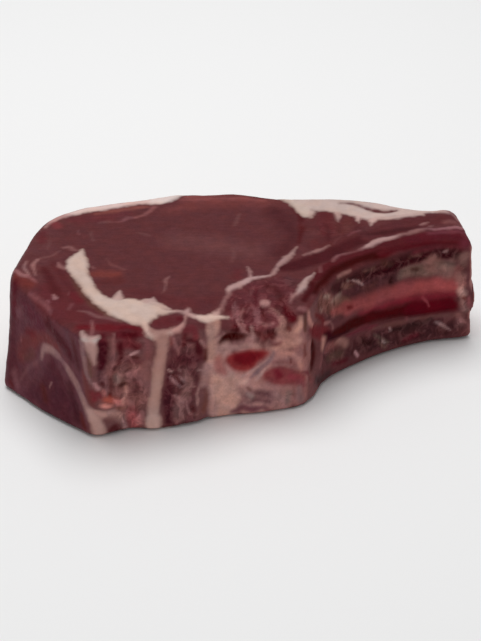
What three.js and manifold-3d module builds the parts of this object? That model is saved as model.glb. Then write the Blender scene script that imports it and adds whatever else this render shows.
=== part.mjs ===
// A raw veal rib chop, cut thick and lying on one of its two sawn faces.
//
// Millimetres, +Z up. The origin is on the surface the chop rests on, under the middle of the whole piece.
// +X runs along the chop, from the edge over the back of the animal to the sawn end of the rib.
// -Y is the side that was sawn through the backbone, +Y the side that lay under the skin.
//
// The flesh is one solid. It is a box whose edges are rounded and which is then bent round the plan of the
// chop: across the loin at the left, and along the narrow strip that carries the rib at the right.
// Two bones sit in it, both open to the side: the sawn piece of backbone and the rib.
import * as THREE from "three";
import { mergeVertices } from "three/addons/utils/BufferGeometryUtils.js";
import Module from "manifold-3d";

// ---------- driving dimensions ----------
const LENGTH = 170; // along the chop, before its ends are rounded
const THICKNESS = 41; // from one sawn face to the other, over the eye of the loin
const RESTING_EDGE_RADIUS = 2.0; // the round of the flesh's lower edges, pressed on what it lies on
const UPPER_EDGE_RADIUS = 2.4; // the round of its upper edges
const LIP_RADIUS = 5.0; // the softer round of the upper edge over the rib
const SHOULDER_RADIUS = 5.5; // and of the shoulder over the back
const BONE_GAP = 0.3; // clearance between a bone and the flesh round it

const RIB_HALF_HEIGHT = 7.6;
const RIB_HALF_DEPTH = 4.6;
const RIB_NECK = 0.72; // the rib's size at the backbone, as a share of its size further out
const RIB_NECK_LENGTH = 0.3; // the share of the rib over which it grows to its full size

const BACKBONE_WIDTH = 34; // along the sawn side
const BACKBONE_TOP = 28.5; // height of the sawn backbone over the resting face
const BACKBONE_DEPTH = 23; // from its far side to in front of the sawn side, where it is cut off
const BACKBONE_FOOT = 6; // how far it is made below the resting face, where it is cut off too
const BACKBONE_EDGE_RADIUS = 6;

// ---------- the plan ----------
// Each row is one station along the chop, from the edge over the back to the rib's end: a point on the sawn
// side and the point across from it on the skin side. The resting face and the upper face have a plan each,
// because the sides lean a little.
const RESTING_PLAN = [
  [[-52.4, -50.2], [-87.4, -20.4]],
  [[-46.0, -48.8], [-85.0, -5.0]],
  [[-39.4, -46.0], [-81.5, 16.0]],
  [[-27.4, -46.0], [-75.0, 31.0]],
  [[-20.6, -43.6], [-64.0, 40.0]],
  [[-8.0, -38.2], [-46.5, 46.0]],
  [[6.0, -36.0], [-24.0, 49.8]],
  [[20.8, -31.6], [0.0, 50.0]],
  [[25.0, -27.2], [17.0, 47.0]],
  [[29.4, -17.4], [35.0, 46.0]],
  [[38.8, -8.8], [48.5, 43.5]],
  [[53.2, 1.2], [60.0, 39.0]],
  [[71.4, 9.0], [72.0, 36.5]],
  [[86.8, 11.4], [81.0, 34.5]],
];
const UPPER_PLAN = [
  [[-54.4, -50.8], [-83.4, -12.6]],
  [[-47.5, -49.2], [-79.8, 3.5]],
  [[-39.5, -46.4], [-77.2, 20.5]],
  [[-28.5, -45.0], [-73.6, 30.4]],
  [[-21.0, -42.8], [-64.0, 38.2]],
  [[-8.6, -38.0], [-46.5, 44.4]],
  [[6.0, -35.0], [-24.0, 49.4]],
  [[20.8, -30.4], [-1.0, 49.8]],
  [[24.5, -26.4], [17.0, 46.4]],
  [[29.0, -16.5], [35.0, 45.2]],
  [[38.2, -7.6], [48.5, 43.2]],
  [[52.0, 2.2], [59.8, 38.0]],
  [[69.5, 9.8], [71.4, 35.0]],
  [[84.8, 11.0], [79.8, 33.4]],
];

// The middle line of the rib, [x, y, height].
const RIB_LINE = [
  [27.4, -15.4, 22.0],
  [37.0, -5.6, 21.4],
  [51.2, 4.4, 20.4],
  [69.0, 12.4, 18.4],
  [84.9, 16.8, 16.4],
];

// The backbone's outline in plan: its two corners past the sawn side, then the two inside the flesh.
const BACKBONE_PLAN = [
  [-13.0, -46.0],
  [22.6, -38.0],
  [20.0, -17.5],
  [-9.0, -25.0],
];

// ---------- the lie of the surfaces ----------
const bell = (distance, width) => Math.exp(-((distance / width) ** 2));
const hill = (x, y, [cx, cy, rx, ry, rise]) =>
  rise * Math.exp(-(((x - cx) / rx) ** 2) - ((y - cy) / ry) ** 2);

// Rises and dips of the upper face: centre, radii and height.
const UPPER_HILLS = [
  [-10, 6, 42, 38, 0.8], // the eye of the loin, slightly crowned
  [-82, -8, 20, 22, 3.2], // the shoulder over the back
  [-54, -52, 13, 11, 1.8], // the sharp corner towards the backbone
  [-22, -48, 16, 9, -3.2], // sagging flesh along the sawn side
  [8, -38, 17, 12, -9.0], // flesh falling away to the top of the backbone
  [72, 22, 36, 22, 2.2], // the strip over the rib
  [-60, 40, 22, 9, 0.6], // fat standing a little proud along the skin side
  [-24, 50, 9, 8, 1.0],
  [-4, 50, 9, 8, 1.2],
  [40, 46, 26, 8, 1.2],
  [77, 34, 4, 4, 1.6], // a flap of fat by the rib's end
];
const upperHeight = (x, y) =>
  UPPER_HILLS.reduce((height, one) => height + hill(x, y, one), THICKNESS);

// How far the side over the backbone and the rib stands back, in plan, at a height.
function sawnSideInset(x, z) {
  const overRib = THREE.MathUtils.smoothstep(x, 27, 36);
  const hollowUnderLip = 2.6 * bell(z - 33.5, 4.2);
  const hollowUnderRib = 2.0 * bell(z - 14, 4.0);
  const slit = 1.6 * bell(x - 25, 3.0) * THREE.MathUtils.smoothstep(z, 8, 18);
  const rawMuscle = 0.9 * bell(x + 18, 6.5) * bell(z - 18, 15);
  return overRib * (hollowUnderLip + hollowUnderRib) + slit + rawMuscle;
}

// How far the end over the back stands back along the chop: hollow half way up, swollen at its foot.
function leftEndInset(across, z) {
  const hollow = 0.8 * bell(z - 20, 12);
  const swollenFoot = 2.2 * bell(z, 10) * bell(across - 0.45, 0.3);
  return hollow - swollenFoot;
}

// ---------- the flesh ----------
const CELLS_LONG = 40;
const CELLS_ACROSS = 22;
const CELLS_UP = 10;
const CROWDING = 0.62; // how much smaller the cells are near the edges, across and up

const curveThrough = (points) =>
  new THREE.CatmullRomCurve3(points.map(([x, y]) => new THREE.Vector3(x, y, 0)), false, "centripetal");
const planCurves = (plan) => ({
  sawn: curveThrough(plan.map((row) => row[0])),
  skin: curveThrough(plan.map((row) => row[1])),
});
const RESTING = planCurves(RESTING_PLAN);
const UPPER = planCurves(UPPER_PLAN);

const crowded = (t) => t - (CROWDING * Math.sin(2 * Math.PI * t)) / (2 * Math.PI);

// Rounds the edges of a box of that size, for a point on its surface.
function rounded(point, size, radius) {
  const core = point.clone().clamp(
    new THREE.Vector3(radius, radius, radius),
    size.clone().subScalar(radius),
  );
  const outwards = point.clone().sub(core);
  if (outwards.lengthSq() === 0) return point;
  return core.add(outwards.setLength(radius));
}

// The radius of the rounding near a point of the box: u along the chop, v across it, w up, each 0 to 1.
function edgeRadius(u, v, w) {
  const { lerp, smoothstep } = THREE.MathUtils;
  const overRib = smoothstep(u, 0.6, 0.72) * (1 - v);
  const overBack = (1 - smoothstep(u, 0, 0.14)) * smoothstep(v, 0.25, 0.9);
  const upper = lerp(lerp(UPPER_EDGE_RADIUS, LIP_RADIUS, overRib), SHOULDER_RADIUS, overBack);
  return lerp(RESTING_EDGE_RADIUS, upper, w);
}

// The point of a plan that lies a share u along it and a share v across it.
const inPlan = (curves, u, v) =>
  new THREE.Vector3().lerpVectors(curves.sawn.getPoint(u), curves.skin.getPoint(u), v);

// Where a point of the box goes in the chop.
function fleshPoint(u, v, w) {
  const width = inPlan(RESTING, u, 0).distanceTo(inPlan(RESTING, u, 1));
  const size = new THREE.Vector3(LENGTH, width, THICKNESS);
  const soft = rounded(new THREE.Vector3(u, v, w).multiply(size), size, edgeRadius(u, v, w)).divide(size);
  const point = inPlan(RESTING, soft.x, soft.y).lerp(inPlan(UPPER, soft.x, soft.y), soft.z);
  point.z = soft.z * upperHeight(point.x, point.y);
  const nearSawnSide = (1 - soft.y) ** 3;
  const nearLeftEnd = (1 - soft.x) ** 12;
  point.y += sawnSideInset(point.x, point.z) * nearSawnSide;
  point.x += leftEndInset(soft.y, point.z) * nearLeftEnd;
  return point;
}

// A box of longWays x across x up cells, each of whose points goes where place(u, v, w) puts it.
function bentBox(longWays, across, up, place) {
  const box = new THREE.BoxGeometry(1, 1, 1, longWays, across, up);
  const at = box.getAttribute("position");
  for (let i = 0; i < at.count; i++) {
    const [u, v, w] = [at.getX(i), at.getY(i), at.getZ(i)].map((c) => c + 0.5);
    const point = place(u, v, w);
    at.setXYZ(i, point.x, point.y, point.z);
  }
  return box;
}

const fleshBlank = () =>
  bentBox(CELLS_LONG, CELLS_ACROSS, CELLS_UP, (u, v, w) => fleshPoint(u, crowded(v), crowded(w)));

// ---------- the bones ----------
// A flattened rod that follows the rib's line, thinner at the neck and sawn square at its far end.
// It is made larger all round by grow.
function ribGeometry(grow) {
  const line = new THREE.CatmullRomCurve3(RIB_LINE.map((p) => new THREE.Vector3(...p)));
  const rod = new THREE.CylinderGeometry(1, 1, 1, 16, 30);
  const at = rod.getAttribute("position");
  for (let i = 0; i < at.count; i++) {
    const t = at.getY(i) + 0.5;
    const centre = line.getPoint(t);
    const ahead = line.getTangent(t);
    const aside = new THREE.Vector3(ahead.y, -ahead.x, 0).normalize();
    const swell = THREE.MathUtils.lerp(RIB_NECK, 1, THREE.MathUtils.smoothstep(t, 0, RIB_NECK_LENGTH));
    centre.addScaledVector(aside, at.getX(i) * (RIB_HALF_DEPTH * swell + grow));
    centre.z += at.getZ(i) * (RIB_HALF_HEIGHT * swell + grow);
    if (t === 0) centre.addScaledVector(ahead, -grow);
    if (t === 1) centre.addScaledVector(ahead, grow);
    at.setXYZ(i, centre.x, centre.y, centre.z);
  }
  return rod;
}

// A block with soft edges, wider at the sawn side, made larger all round by grow.
// It reaches out past the sawn side and the resting face, to be cut off flush with them.
function backboneGeometry(grow) {
  const [nearLeft, nearRight, farRight, farLeft] = BACKBONE_PLAN.map(([x, y]) => new THREE.Vector3(x, y, 0));
  const size = new THREE.Vector3(BACKBONE_WIDTH, BACKBONE_DEPTH, BACKBONE_TOP + BACKBONE_FOOT);
  const middle = size.clone().multiplyScalar(0.5);
  return bentBox(14, 8, 10, (u, v, w) => {
    const soft = rounded(new THREE.Vector3(u, v, w).multiply(size), size, BACKBONE_EDGE_RADIUS);
    const outwards = soft.clone().sub(middle).setLength(grow);
    const height = soft.z - BACKBONE_FOOT;
    soft.divide(size);
    const near = nearLeft.clone().lerp(nearRight, soft.x);
    const far = farLeft.clone().lerp(farRight, soft.x);
    return near.lerp(far, soft.y).setZ(height).add(outwards);
  });
}

// ---------- cutting the bones into the flesh ----------
const wasm = await Module();
wasm.setup();

function solidOf(geometry) {
  const bare = geometry.clone();
  bare.deleteAttribute("normal");
  bare.deleteAttribute("uv");
  const merged = mergeVertices(bare, 1e-4);
  return new wasm.Manifold(
    new wasm.Mesh({
      numProp: 3,
      vertProperties: new Float32Array(merged.getAttribute("position").array),
      triVerts: new Uint32Array(merged.index.array),
    }),
  );
}

function meshOf(name, solid, material) {
  const made = solid.getMesh();
  const geometry = new THREE.BufferGeometry();
  geometry.setAttribute("position", new THREE.BufferAttribute(made.vertProperties, 3));
  geometry.setIndex(new THREE.BufferAttribute(made.triVerts, 1));
  geometry.computeVertexNormals();
  const mesh = new THREE.Mesh(geometry, material);
  mesh.name = name;
  return mesh;
}

const blank = solidOf(fleshBlank());
const backbone = blank.intersect(solidOf(backboneGeometry(0)));
const rib = solidOf(ribGeometry(0));
const flesh = blank
  .subtract(solidOf(backboneGeometry(BONE_GAP)))
  .subtract(solidOf(ribGeometry(BONE_GAP)));

const fleshFinish = new THREE.MeshStandardMaterial({ color: 0x60332f, roughness: 0.55, metalness: 0 });
const boneFinish = new THREE.MeshStandardMaterial({ color: 0xa47e74, roughness: 0.6, metalness: 0 });

const chop = new THREE.Group();
chop.add(
  meshOf("flesh", flesh, fleshFinish),
  meshOf("backbone", backbone, boneFinish),
  meshOf("rib", rib, boneFinish),
);

export default chop;
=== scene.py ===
import math

import bpy
import numpy as np
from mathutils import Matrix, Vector
from mathutils.bvhtree import BVHTree


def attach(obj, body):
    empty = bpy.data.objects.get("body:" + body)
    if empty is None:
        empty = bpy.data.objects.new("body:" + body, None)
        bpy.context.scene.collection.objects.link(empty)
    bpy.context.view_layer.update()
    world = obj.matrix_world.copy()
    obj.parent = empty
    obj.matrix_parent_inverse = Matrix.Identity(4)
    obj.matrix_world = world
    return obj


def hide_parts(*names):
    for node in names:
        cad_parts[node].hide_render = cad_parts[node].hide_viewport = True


MM = 0.001

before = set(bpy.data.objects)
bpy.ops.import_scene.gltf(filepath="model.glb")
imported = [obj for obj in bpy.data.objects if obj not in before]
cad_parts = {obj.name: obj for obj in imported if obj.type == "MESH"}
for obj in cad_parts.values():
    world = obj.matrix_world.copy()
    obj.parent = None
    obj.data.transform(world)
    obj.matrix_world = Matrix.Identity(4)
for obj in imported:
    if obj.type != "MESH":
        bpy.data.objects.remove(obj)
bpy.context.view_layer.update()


# ---------- camera, floor and light ----------
CAMERA_TARGET = Vector((-1.15, -8.2, 21)) * MM
CAMERA_DISTANCE = 547 * MM
CAMERA_ELEVATION = math.radians(33)
LENS_MM = 85
SENSOR_MM = 36
FLOOR_SIZE = 4.0
FLOOR_DEPTH = 0.2 * MM
FLOOR_COLOUR = (0.86, 0.86, 0.86)
LAMP_PLACE = Vector((-0.1, 0.25, 1.1))
LAMP_SIZE = 0.9
LAMP_WATTS = 9.6
SKY_STRENGTH = 0.38


def add_camera():
    data = bpy.data.cameras.new("camera")
    data.lens = LENS_MM
    data.sensor_width = SENSOR_MM
    camera = bpy.data.objects.new("camera", data)
    back = Vector((0, -math.cos(CAMERA_ELEVATION), math.sin(CAMERA_ELEVATION)))
    camera.location = CAMERA_TARGET + CAMERA_DISTANCE * back
    camera.rotation_euler = (math.pi / 2 - CAMERA_ELEVATION, 0, 0)
    bpy.context.collection.objects.link(camera)
    bpy.context.scene.camera = camera


def floor_material():
    material = bpy.data.materials.new("pale_floor")
    material.use_nodes = True
    shader = material.node_tree.nodes["Principled BSDF"]
    shader.inputs["Base Color"].default_value = (*FLOOR_COLOUR, 1)
    shader.inputs["Roughness"].default_value = 0.7
    return material


def add_floor():
    half = FLOOR_SIZE / 2
    corners = [(-half, -half, 0), (half, -half, 0), (half, half, 0), (-half, half, 0)]
    mesh = bpy.data.meshes.new("floor")
    mesh.from_pydata(corners, [], [(0, 1, 2, 3)])
    mesh.materials.append(floor_material())
    floor = bpy.data.objects.new("floor", mesh)
    floor.location.z = -FLOOR_DEPTH
    bpy.context.collection.objects.link(floor)


def add_lamp():
    data = bpy.data.lights.new("overhead", "AREA")
    data.shape = "DISK"
    data.size = LAMP_SIZE
    data.energy = LAMP_WATTS
    lamp = bpy.data.objects.new("overhead", data)
    lamp.location = LAMP_PLACE
    lamp.rotation_euler = (-LAMP_PLACE).to_track_quat("-Z", "Y").to_euler()
    bpy.context.collection.objects.link(lamp)


def add_sky():
    world = bpy.data.worlds.new("studio")
    world.use_nodes = True
    background = world.node_tree.nodes["Background"]
    background.inputs["Color"].default_value = (1, 1, 1, 1)
    background.inputs["Strength"].default_value = SKY_STRENGTH
    bpy.context.scene.world = world
    bpy.context.scene.view_settings.view_transform = "Standard"


# ---------- numbers on points ----------
def smooth_step(low, high, value):
    t = np.clip((value - low) / (high - low), 0, 1)
    return t * t * (3 - 2 * t)


def lattice_value(cell, seed):
    """A fixed random number from 0 to 1 for each whole-number point of a lattice."""
    mixed = cell[:, 0] * 73856093 ^ cell[:, 1] * 19349663 ^ cell[:, 2] * 83492791 ^ (seed * 2654435761)
    mixed = (mixed ^ (mixed >> 13)) * 1274126177 & 0xFFFFFFFF
    mixed = (mixed ^ (mixed >> 16)) * 2246822519 & 0xFFFFFFFF
    return (mixed & 0xFFFF) / 0xFFFF


LATTICE_MIDDLE = 1000  # keeps every point on the positive side of the lattice


def noise(points, size, seed, stretch=(1, 1, 1)):
    """Smooth noise from -1 to 1 whose bumps are about size mm apart, drawn out by stretch."""
    place = points / (size * np.array(stretch)) + LATTICE_MIDDLE
    cell = np.floor(place).astype(np.int64)
    part = smooth_step(0, 1, place - cell)
    total = np.zeros(len(points))
    for corner in np.ndindex(2, 2, 2):
        weight = np.prod(np.where(corner, part, 1 - part), axis=1)
        total += weight * lattice_value(cell + np.array(corner), seed)
    return 2 * total - 1


def layered_noise(points, size, seed, layers=3, stretch=(1, 1, 1)):
    total = np.zeros(len(points))
    for layer in range(layers):
        total += noise(points, size / 2**layer, seed + layer, stretch) / 2**layer
    return total / (2 - 0.5 ** (layers - 1))


WANDER = 0.7  # how far the edges of strokes stray, in mm
FAT_WANDER = 0.5
WANDER_SIZE = 4.5
WANDER_SEEDS = (31, 37, 43)  # one for each axis


def wandered(points, far):
    """The points moved a little to and fro, so that what is drawn at them gets uneven edges."""
    moves = [layered_noise(points, WANDER_SIZE, seed, layers=2) for seed in WANDER_SEEDS]
    return points + far * np.stack(moves, axis=1)


def linear(colour):
    """A colour as it is seen, 0 to 255, as the share of light that it reflects."""
    c = np.array(colour, float) / 255
    return np.where(c <= 0.04045, c / 12.92, ((c + 0.055) / 1.055) ** 2.4)


def laid_over(colour, layers):
    """A colour with each (share, paint) laid over it in turn."""
    for share, paint in layers:
        colour = colour + share[:, None] * (paint - colour)
    return colour


# ---------- the base surface ----------
VOXEL = 0.7
BONE_VOXEL = 0.5
BONE_SWELL = 0.5  # closes the gap between a bone and the flesh before they are made one surface
SOFTEN_ROUNDS = 6


def points_of(mesh):
    place = np.empty(len(mesh.vertices) * 3)
    mesh.vertices.foreach_get("co", place)
    return place.reshape(-1, 3) / MM


def normals_of(mesh):
    normal = np.empty(len(mesh.vertices) * 3, np.float32)
    mesh.vertex_normals.foreach_get("vector", normal)
    return normal.reshape(-1, 3).astype(float)


def move_points(mesh, points):
    mesh.vertices.foreach_set("co", (points * MM).ravel())
    mesh.update()


def mesh_copy(node, swell=0.0):
    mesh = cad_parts[node].data.copy()
    mesh.name = node + "_base"
    mesh.materials.clear()
    move_points(mesh, points_of(mesh) + swell * normals_of(mesh))
    return mesh


def joined(meshes, name):
    """One object that holds all the meshes."""
    objects = [bpy.data.objects.new(name, mesh) for mesh in meshes]
    for one in objects:
        bpy.context.collection.objects.link(one)
    with bpy.context.temp_override(active_object=objects[0], selected_editable_objects=objects):
        bpy.ops.object.join()
    return objects[0]


def remeshed(piece, voxel):
    """Replaces a piece's mesh with an even one of quads about voxel mm across."""
    change = piece.modifiers.new("even", "REMESH")
    change.mode = "VOXEL"
    change.voxel_size = voxel * MM
    smooth = piece.modifiers.new("soften", "SMOOTH")
    smooth.factor = 0.5
    smooth.iterations = SOFTEN_ROUNDS
    shown = piece.evaluated_get(bpy.context.evaluated_depsgraph_get())
    made = bpy.data.meshes.new_from_object(shown)
    piece.modifiers.clear()
    piece.data = made
    made.polygons.foreach_set("use_smooth", np.ones(len(made.polygons), bool))


# ---------- strokes ----------
TOP, UNDER, SIDE, END = "top", "under", "side", "end"
FAR = 200.0
RAYS = {
    TOP: (lambda a, b: (a, b, FAR), (0, 0, -1)),
    UNDER: (lambda a, b: (a, b, -FAR), (0, 0, 1)),
    SIDE: (lambda a, b: (a, -FAR, b), (0, 1, 0)),
    END: (lambda a, b: (FAR, a, b), (-1, 0, 0)),
}
BESIDE = np.arange(0.5, 1.5, 0.01) * FAR  # where along a ray the surface is looked for if the ray misses it
FINEST_STEP = 0.3


class Canvas:
    """The surface that strokes are drawn on."""

    def __init__(self, mesh):
        points = points_of(mesh)
        self.tree = BVHTree.FromPolygons(points.tolist(), [list(p.vertices) for p in mesh.polygons])

    def put(self, face, a, b):
        start_at, direction = RAYS[face]
        start, direction = Vector(start_at(a, b)), Vector(direction)
        found = self.tree.ray_cast(start, direction)[0]
        return np.array(found or self.beside_ray(start, direction))

    def beside_ray(self, start, direction):
        """The point of the surface that lies nearest to a ray that misses it."""
        nearest = [self.tree.find_nearest(start + direction * far) for far in BESIDE]
        return min(nearest, key=lambda found: found[3])[0]


def curve_samples(points, step):
    """Samples of a smooth line through the points, no more than step apart."""
    points = np.array(points, float)
    ends = np.vstack([2 * points[0] - points[1], points, 2 * points[-1] - points[-2]])
    samples = []
    for i in range(len(points) - 1):
        p0, p1, p2, p3 = ends[i : i + 4]
        count = max(2, math.ceil(np.hypot(*(p2 - p1)[:2]) / step))
        t = np.arange(count)[:, None] / count
        slope = p2 - p0
        bend = 2 * p0 - 5 * p1 + 4 * p2 - p3
        twist = 3 * p1 - p0 - 3 * p2 + p3
        samples.append(0.5 * (2 * p1 + slope * t + bend * t**2 + twist * t**3))
    return np.vstack([*samples, points[-1:]])


def stroke_distance(canvas, points, face, line, reach):
    """How far each point lies outside a stroke, in mm: negative inside it, and no more than reach."""
    narrowest = min(width for _, _, width in line)
    samples = curve_samples(line, max(FINEST_STEP, 0.6 * narrowest))
    on_face = np.array([canvas.put(face, a, b) for a, b, _ in samples])
    widths = samples[:, 2]
    margin = widths.max() + reach
    near = np.all((points > on_face.min(0) - margin) & (points < on_face.max(0) + margin), axis=1)
    chosen = points[near]
    best = np.full(len(chosen), float(reach))
    for place, width in zip(on_face, widths):
        best = np.minimum(best, np.sqrt(((chosen - place) ** 2).sum(1)) - width)
    result = np.full(len(points), float(reach))
    result[near] = best
    return result


def cover(outside, soft):
    """How well a stroke with an edge this soft covers points this far outside it: 1 inside, 0 far off."""
    return 1 - smooth_step(-0.5 * soft, 0.5 * soft, outside)


# ---------- colours ----------
# Moist meat mirrors SHEEN of the light. A wall gets WALL_LIGHT of what a surface facing the lamp gets.
SHEEN = 0.003
DARKEST = 0.0003
PALEST = 0.8
WALL_LIGHT = 0.5
FOOT_PAINTED_LIGHT = 0.25  # painted light: the colour at the very foot of a wall is made lighter, to make up for this share of light lost there
FOOT_HEIGHT = 2.5
TO_LIGHT = (-0.09, 0.22, 0.97)


def seen(colour):
    """The light that comes from the flesh itself where it is seen as this colour."""
    return np.maximum(linear(colour) - SHEEN, DARKEST)


def as_reflected(light, normals, heights):
    """The share of light that a surface reflects, from the light that comes from it."""
    facing = np.clip(np.column_stack([normals[:, :2], np.abs(normals[:, 2])]) @ TO_LIGHT, 0, 1)
    lit = WALL_LIGHT + (1 - WALL_LIGHT) * facing
    # painted light: near the floor the colour is made lighter, to make up for the shade at the foot of a
    # wall
    lit *= 1 - FOOT_PAINTED_LIGHT * np.exp(-heights / FOOT_HEIGHT)
    return np.minimum(light / lit[:, None], PALEST)


BASE_COLOURS = {
    "front": (92, 58, 58),
    "left": (78, 43, 49),
    "rib side": (76, 42, 44),
    "skin lean": (112, 60, 60),
    "skin fat": (168, 138, 130),
    "skin pale": (190, 164, 155),
    "membrane": (176, 148, 144),
    "right end": (128, 84, 80),
    "sawn": (91, 48, 50),
}

# Areas of meat, bone and tissue, laid in this order. A row says the colour as it is seen, the softness
# of the edge and the line.
CAP = [
    # along the left edge, with the corners at the back and the front
    ((94, 51, 53), 6, [(-76, 22, 6), (-75, 6, 7), (-74, -6, 8), (-68, -16, 7)]),
    ((95, 42, 46), 3, [(-74.2, 20, 1), (-74, 15, 1.7), (-73.6, 11, 1)]),
    ((115, 52, 55), 3, [(-70.8, 28, 1.6), (-69.4, 25, 1.9)]),
    ((92, 58, 52), 3, [(-67, 29, 1.6), (-65, 28, 1.2)]),
    ((108, 50, 48), 3, [(-80, -13.6, 1.8), (-77, -16.6, 2), (-73.6, -19, 1.8)]),
    # the low part, at the front
    ((93, 41, 45), 6, [(-67, -22, 5), (-64, -30, 6), (-56, -36, 6), (-47, -42, 5), (-40, -44, 3)]),
    # redder meat along the crescent of fat
    ((80, 33, 36), 3, [(-70.4, -9, 1.4), (-68.2, -14, 1.8), (-66, -20, 1.8), (-63.6, -25.4, 1.4)]),
    ((88, 40, 43), 4, [(-67, -5, 2), (-64, -12, 2.4), (-60, -20, 2.4), (-55, -27, 2)]),
    ((97, 34, 40), 4, [(-59.6, -23, 1.4), (-56.6, -27, 1.8)]),
    # brown fringe along the outer side of the crescent
    ((91, 55, 49), 2.4, [(-60.6, -12.5, 0.6), (-56.6, -21, 0.9), (-52, -29, 1), (-46, -35.6, 1.4)]),
    ((108, 74, 68), 2, [(-46, -35.6, 1.2), (-43, -38.2, 1.4), (-41.6, -39.6, 0.8)]),
    # fresh meat at the front
    ((97, 28, 35), 3, [(-54, -45, 2), (-46, -44, 2.2), (-38, -43.4, 1.8), (-34.6, -43.2, 1.2)]),
    ((92, 20, 28), 2.4, [(-40.4, -43.6, 1), (-36.6, -43.2, 1.4)]),
    # the island of meat in the fat
    ((92, 38, 42), 2.4, [(-28.8, -39.3, 2.4), (-26.4, -38.5, 2.8), (-24, -37.2, 2.6), (-22.4, -36.6, 1.8)]),
]

EYE = [
    # the left, the low part, the back, the middle and the rims
    ((112, 54, 50), 4, [(-53, -10, 1.6), (-49, -9.6, 2.5), (-45, -10, 2)]),
    ((90, 43, 44), 4, [(-50, -15, 1.6), (-44, -14, 2.6)]),
    ((90, 43, 46), 6, [(-38, -21, 2), (-26, -26, 3), (-16, -28, 3), (-9, -24, 2)]),
    ((94, 43, 47), 4, [(-2.6, -7, 1.2), (-2.4, -12, 1.4)]),
    ((110, 57, 56), 9, [(-28, 37, 2), (-16, 42, 3), (0, 43.4, 3), (11, 41, 3)]),
    ((101, 59, 60), 12, [(-24, 14, 5), (-10, 10, 6), (2, 6, 5)]),
    ((132, 74, 72), 3, [(-22, 47, 1), (-10, 49, 1.4), (4, 49, 1.4), (12, 46.6, 1)]),
    ((127, 70, 69), 3, [(-24, 44.6, 0.8), (-17, 45.2, 1.3), (-8, 45.2, 1), (3, 45.2, 1), (8, 44, 0.5)]),
    ((78, 37, 40), 8, [(12, 36, 4), (16, 26, 4), (18, 15, 3), (13, 5, 3)]),
    ((78, 28, 30), 2.4, [(19, 39, 0.5), (20.8, 33, 1), (22, 26, 1.4), (21.4, 20, 1.3), (20, 12, 0.6)]),
]

ROUND_THE_EYE = [
    # the small muscle in the fat at the back, and the meat under it
    ((122, 68, 63), 1.8, [
        (-56, 34, 0.8), (-54, 34.7, 1), (-50.8, 35.6, 1.4), (-46, 36.9, 1.4), (-40, 38.9, 1.3),
        (-36.4, 39.4, 0.7)]),
    ((98, 47, 51), 5, [(-66, 29, 2), (-54, 31, 2.4), (-44, 34, 1.6)]),
    # the muscle at the right of the round one, with its lobes and shade
    ((88, 42, 44), 4, [(24, 26, 2.4), (31, 26, 6), (40, 24, 4), (33, 14, 6), (26, 10, 3)]),
    ((91, 40, 43), 2.4, [(30.6, 33, 2.6), (30.4, 27, 2.8), (31, 19, 2.4)]),
    ((93, 46, 45), 2.4, [(39, 29, 1.8), (38.4, 24, 2), (37.4, 20, 1.4)]),
    ((78, 32, 35), 2.4, [(30.8, 24, 0.5), (31, 18, 1), (30.6, 13, 0.6)]),
    ((84, 40, 40), 1.8, [(34.9, 31, 0.3), (35, 25, 0.5), (35.4, 19, 0.5)]),
    ((84, 40, 42), 1.8, [(42.4, 26, 0.3), (42.6, 21, 0.5)]),
    # the long muscle over the rib
    ((72, 28, 32), 3, [(14, -6, 2), (20, -3, 3.2), (28, 2, 3.4), (37, 9, 3), (46, 16, 3)]),
    ((86, 41, 44), 3, [(46, 16, 3), (56, 21, 4.4), (66, 26, 4.2), (76, 26.6, 3.2)]),
    ((118, 71, 70), 3, [(75.4, 24.6, 1.2), (78.6, 25.2, 1.4)]),
    ((70, 31, 34), 2, [(46, 17, 1), (54, 18.4, 1.6), (60, 19.8, 1.2), (64, 21.2, 0.5)]),
    # the rim along the front of the tail, with painted shade along its front edge where it turns down
    ((80, 28, 33), 2, [
        (25, -12, 2), (29, -6.5, 2.6), (35, 0, 2.6), (43, 4, 2.6), (52, 9, 2.8), (61, 12.6, 2.8)]),
    ((80, 25, 33), 2.4, [(61, 12.6, 2.8), (70, 15.2, 3.2), (81, 16.6, 3.4)]),
    ((104, 50, 58), 2.4, [(68, 17, 0.8), (74, 17.4, 1.2), (80, 18.4, 1.2)]),
    # painted shade: the front edge of the rim, where it turns down away from the lamp
    ((55, 5, 11), 3, [(24.6, -19.6, 1.6), (28, -13, 1.6), (33, -6.5, 2), (40, -0.6, 2.2), (50, 4.4, 2)]),
    ((74, 20, 26), 2.4, [(50, 4.4, 1.8), (57, 8, 1.5), (67, 11.2, 1.3), (79, 12.6, 1.1)]),
]

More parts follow.
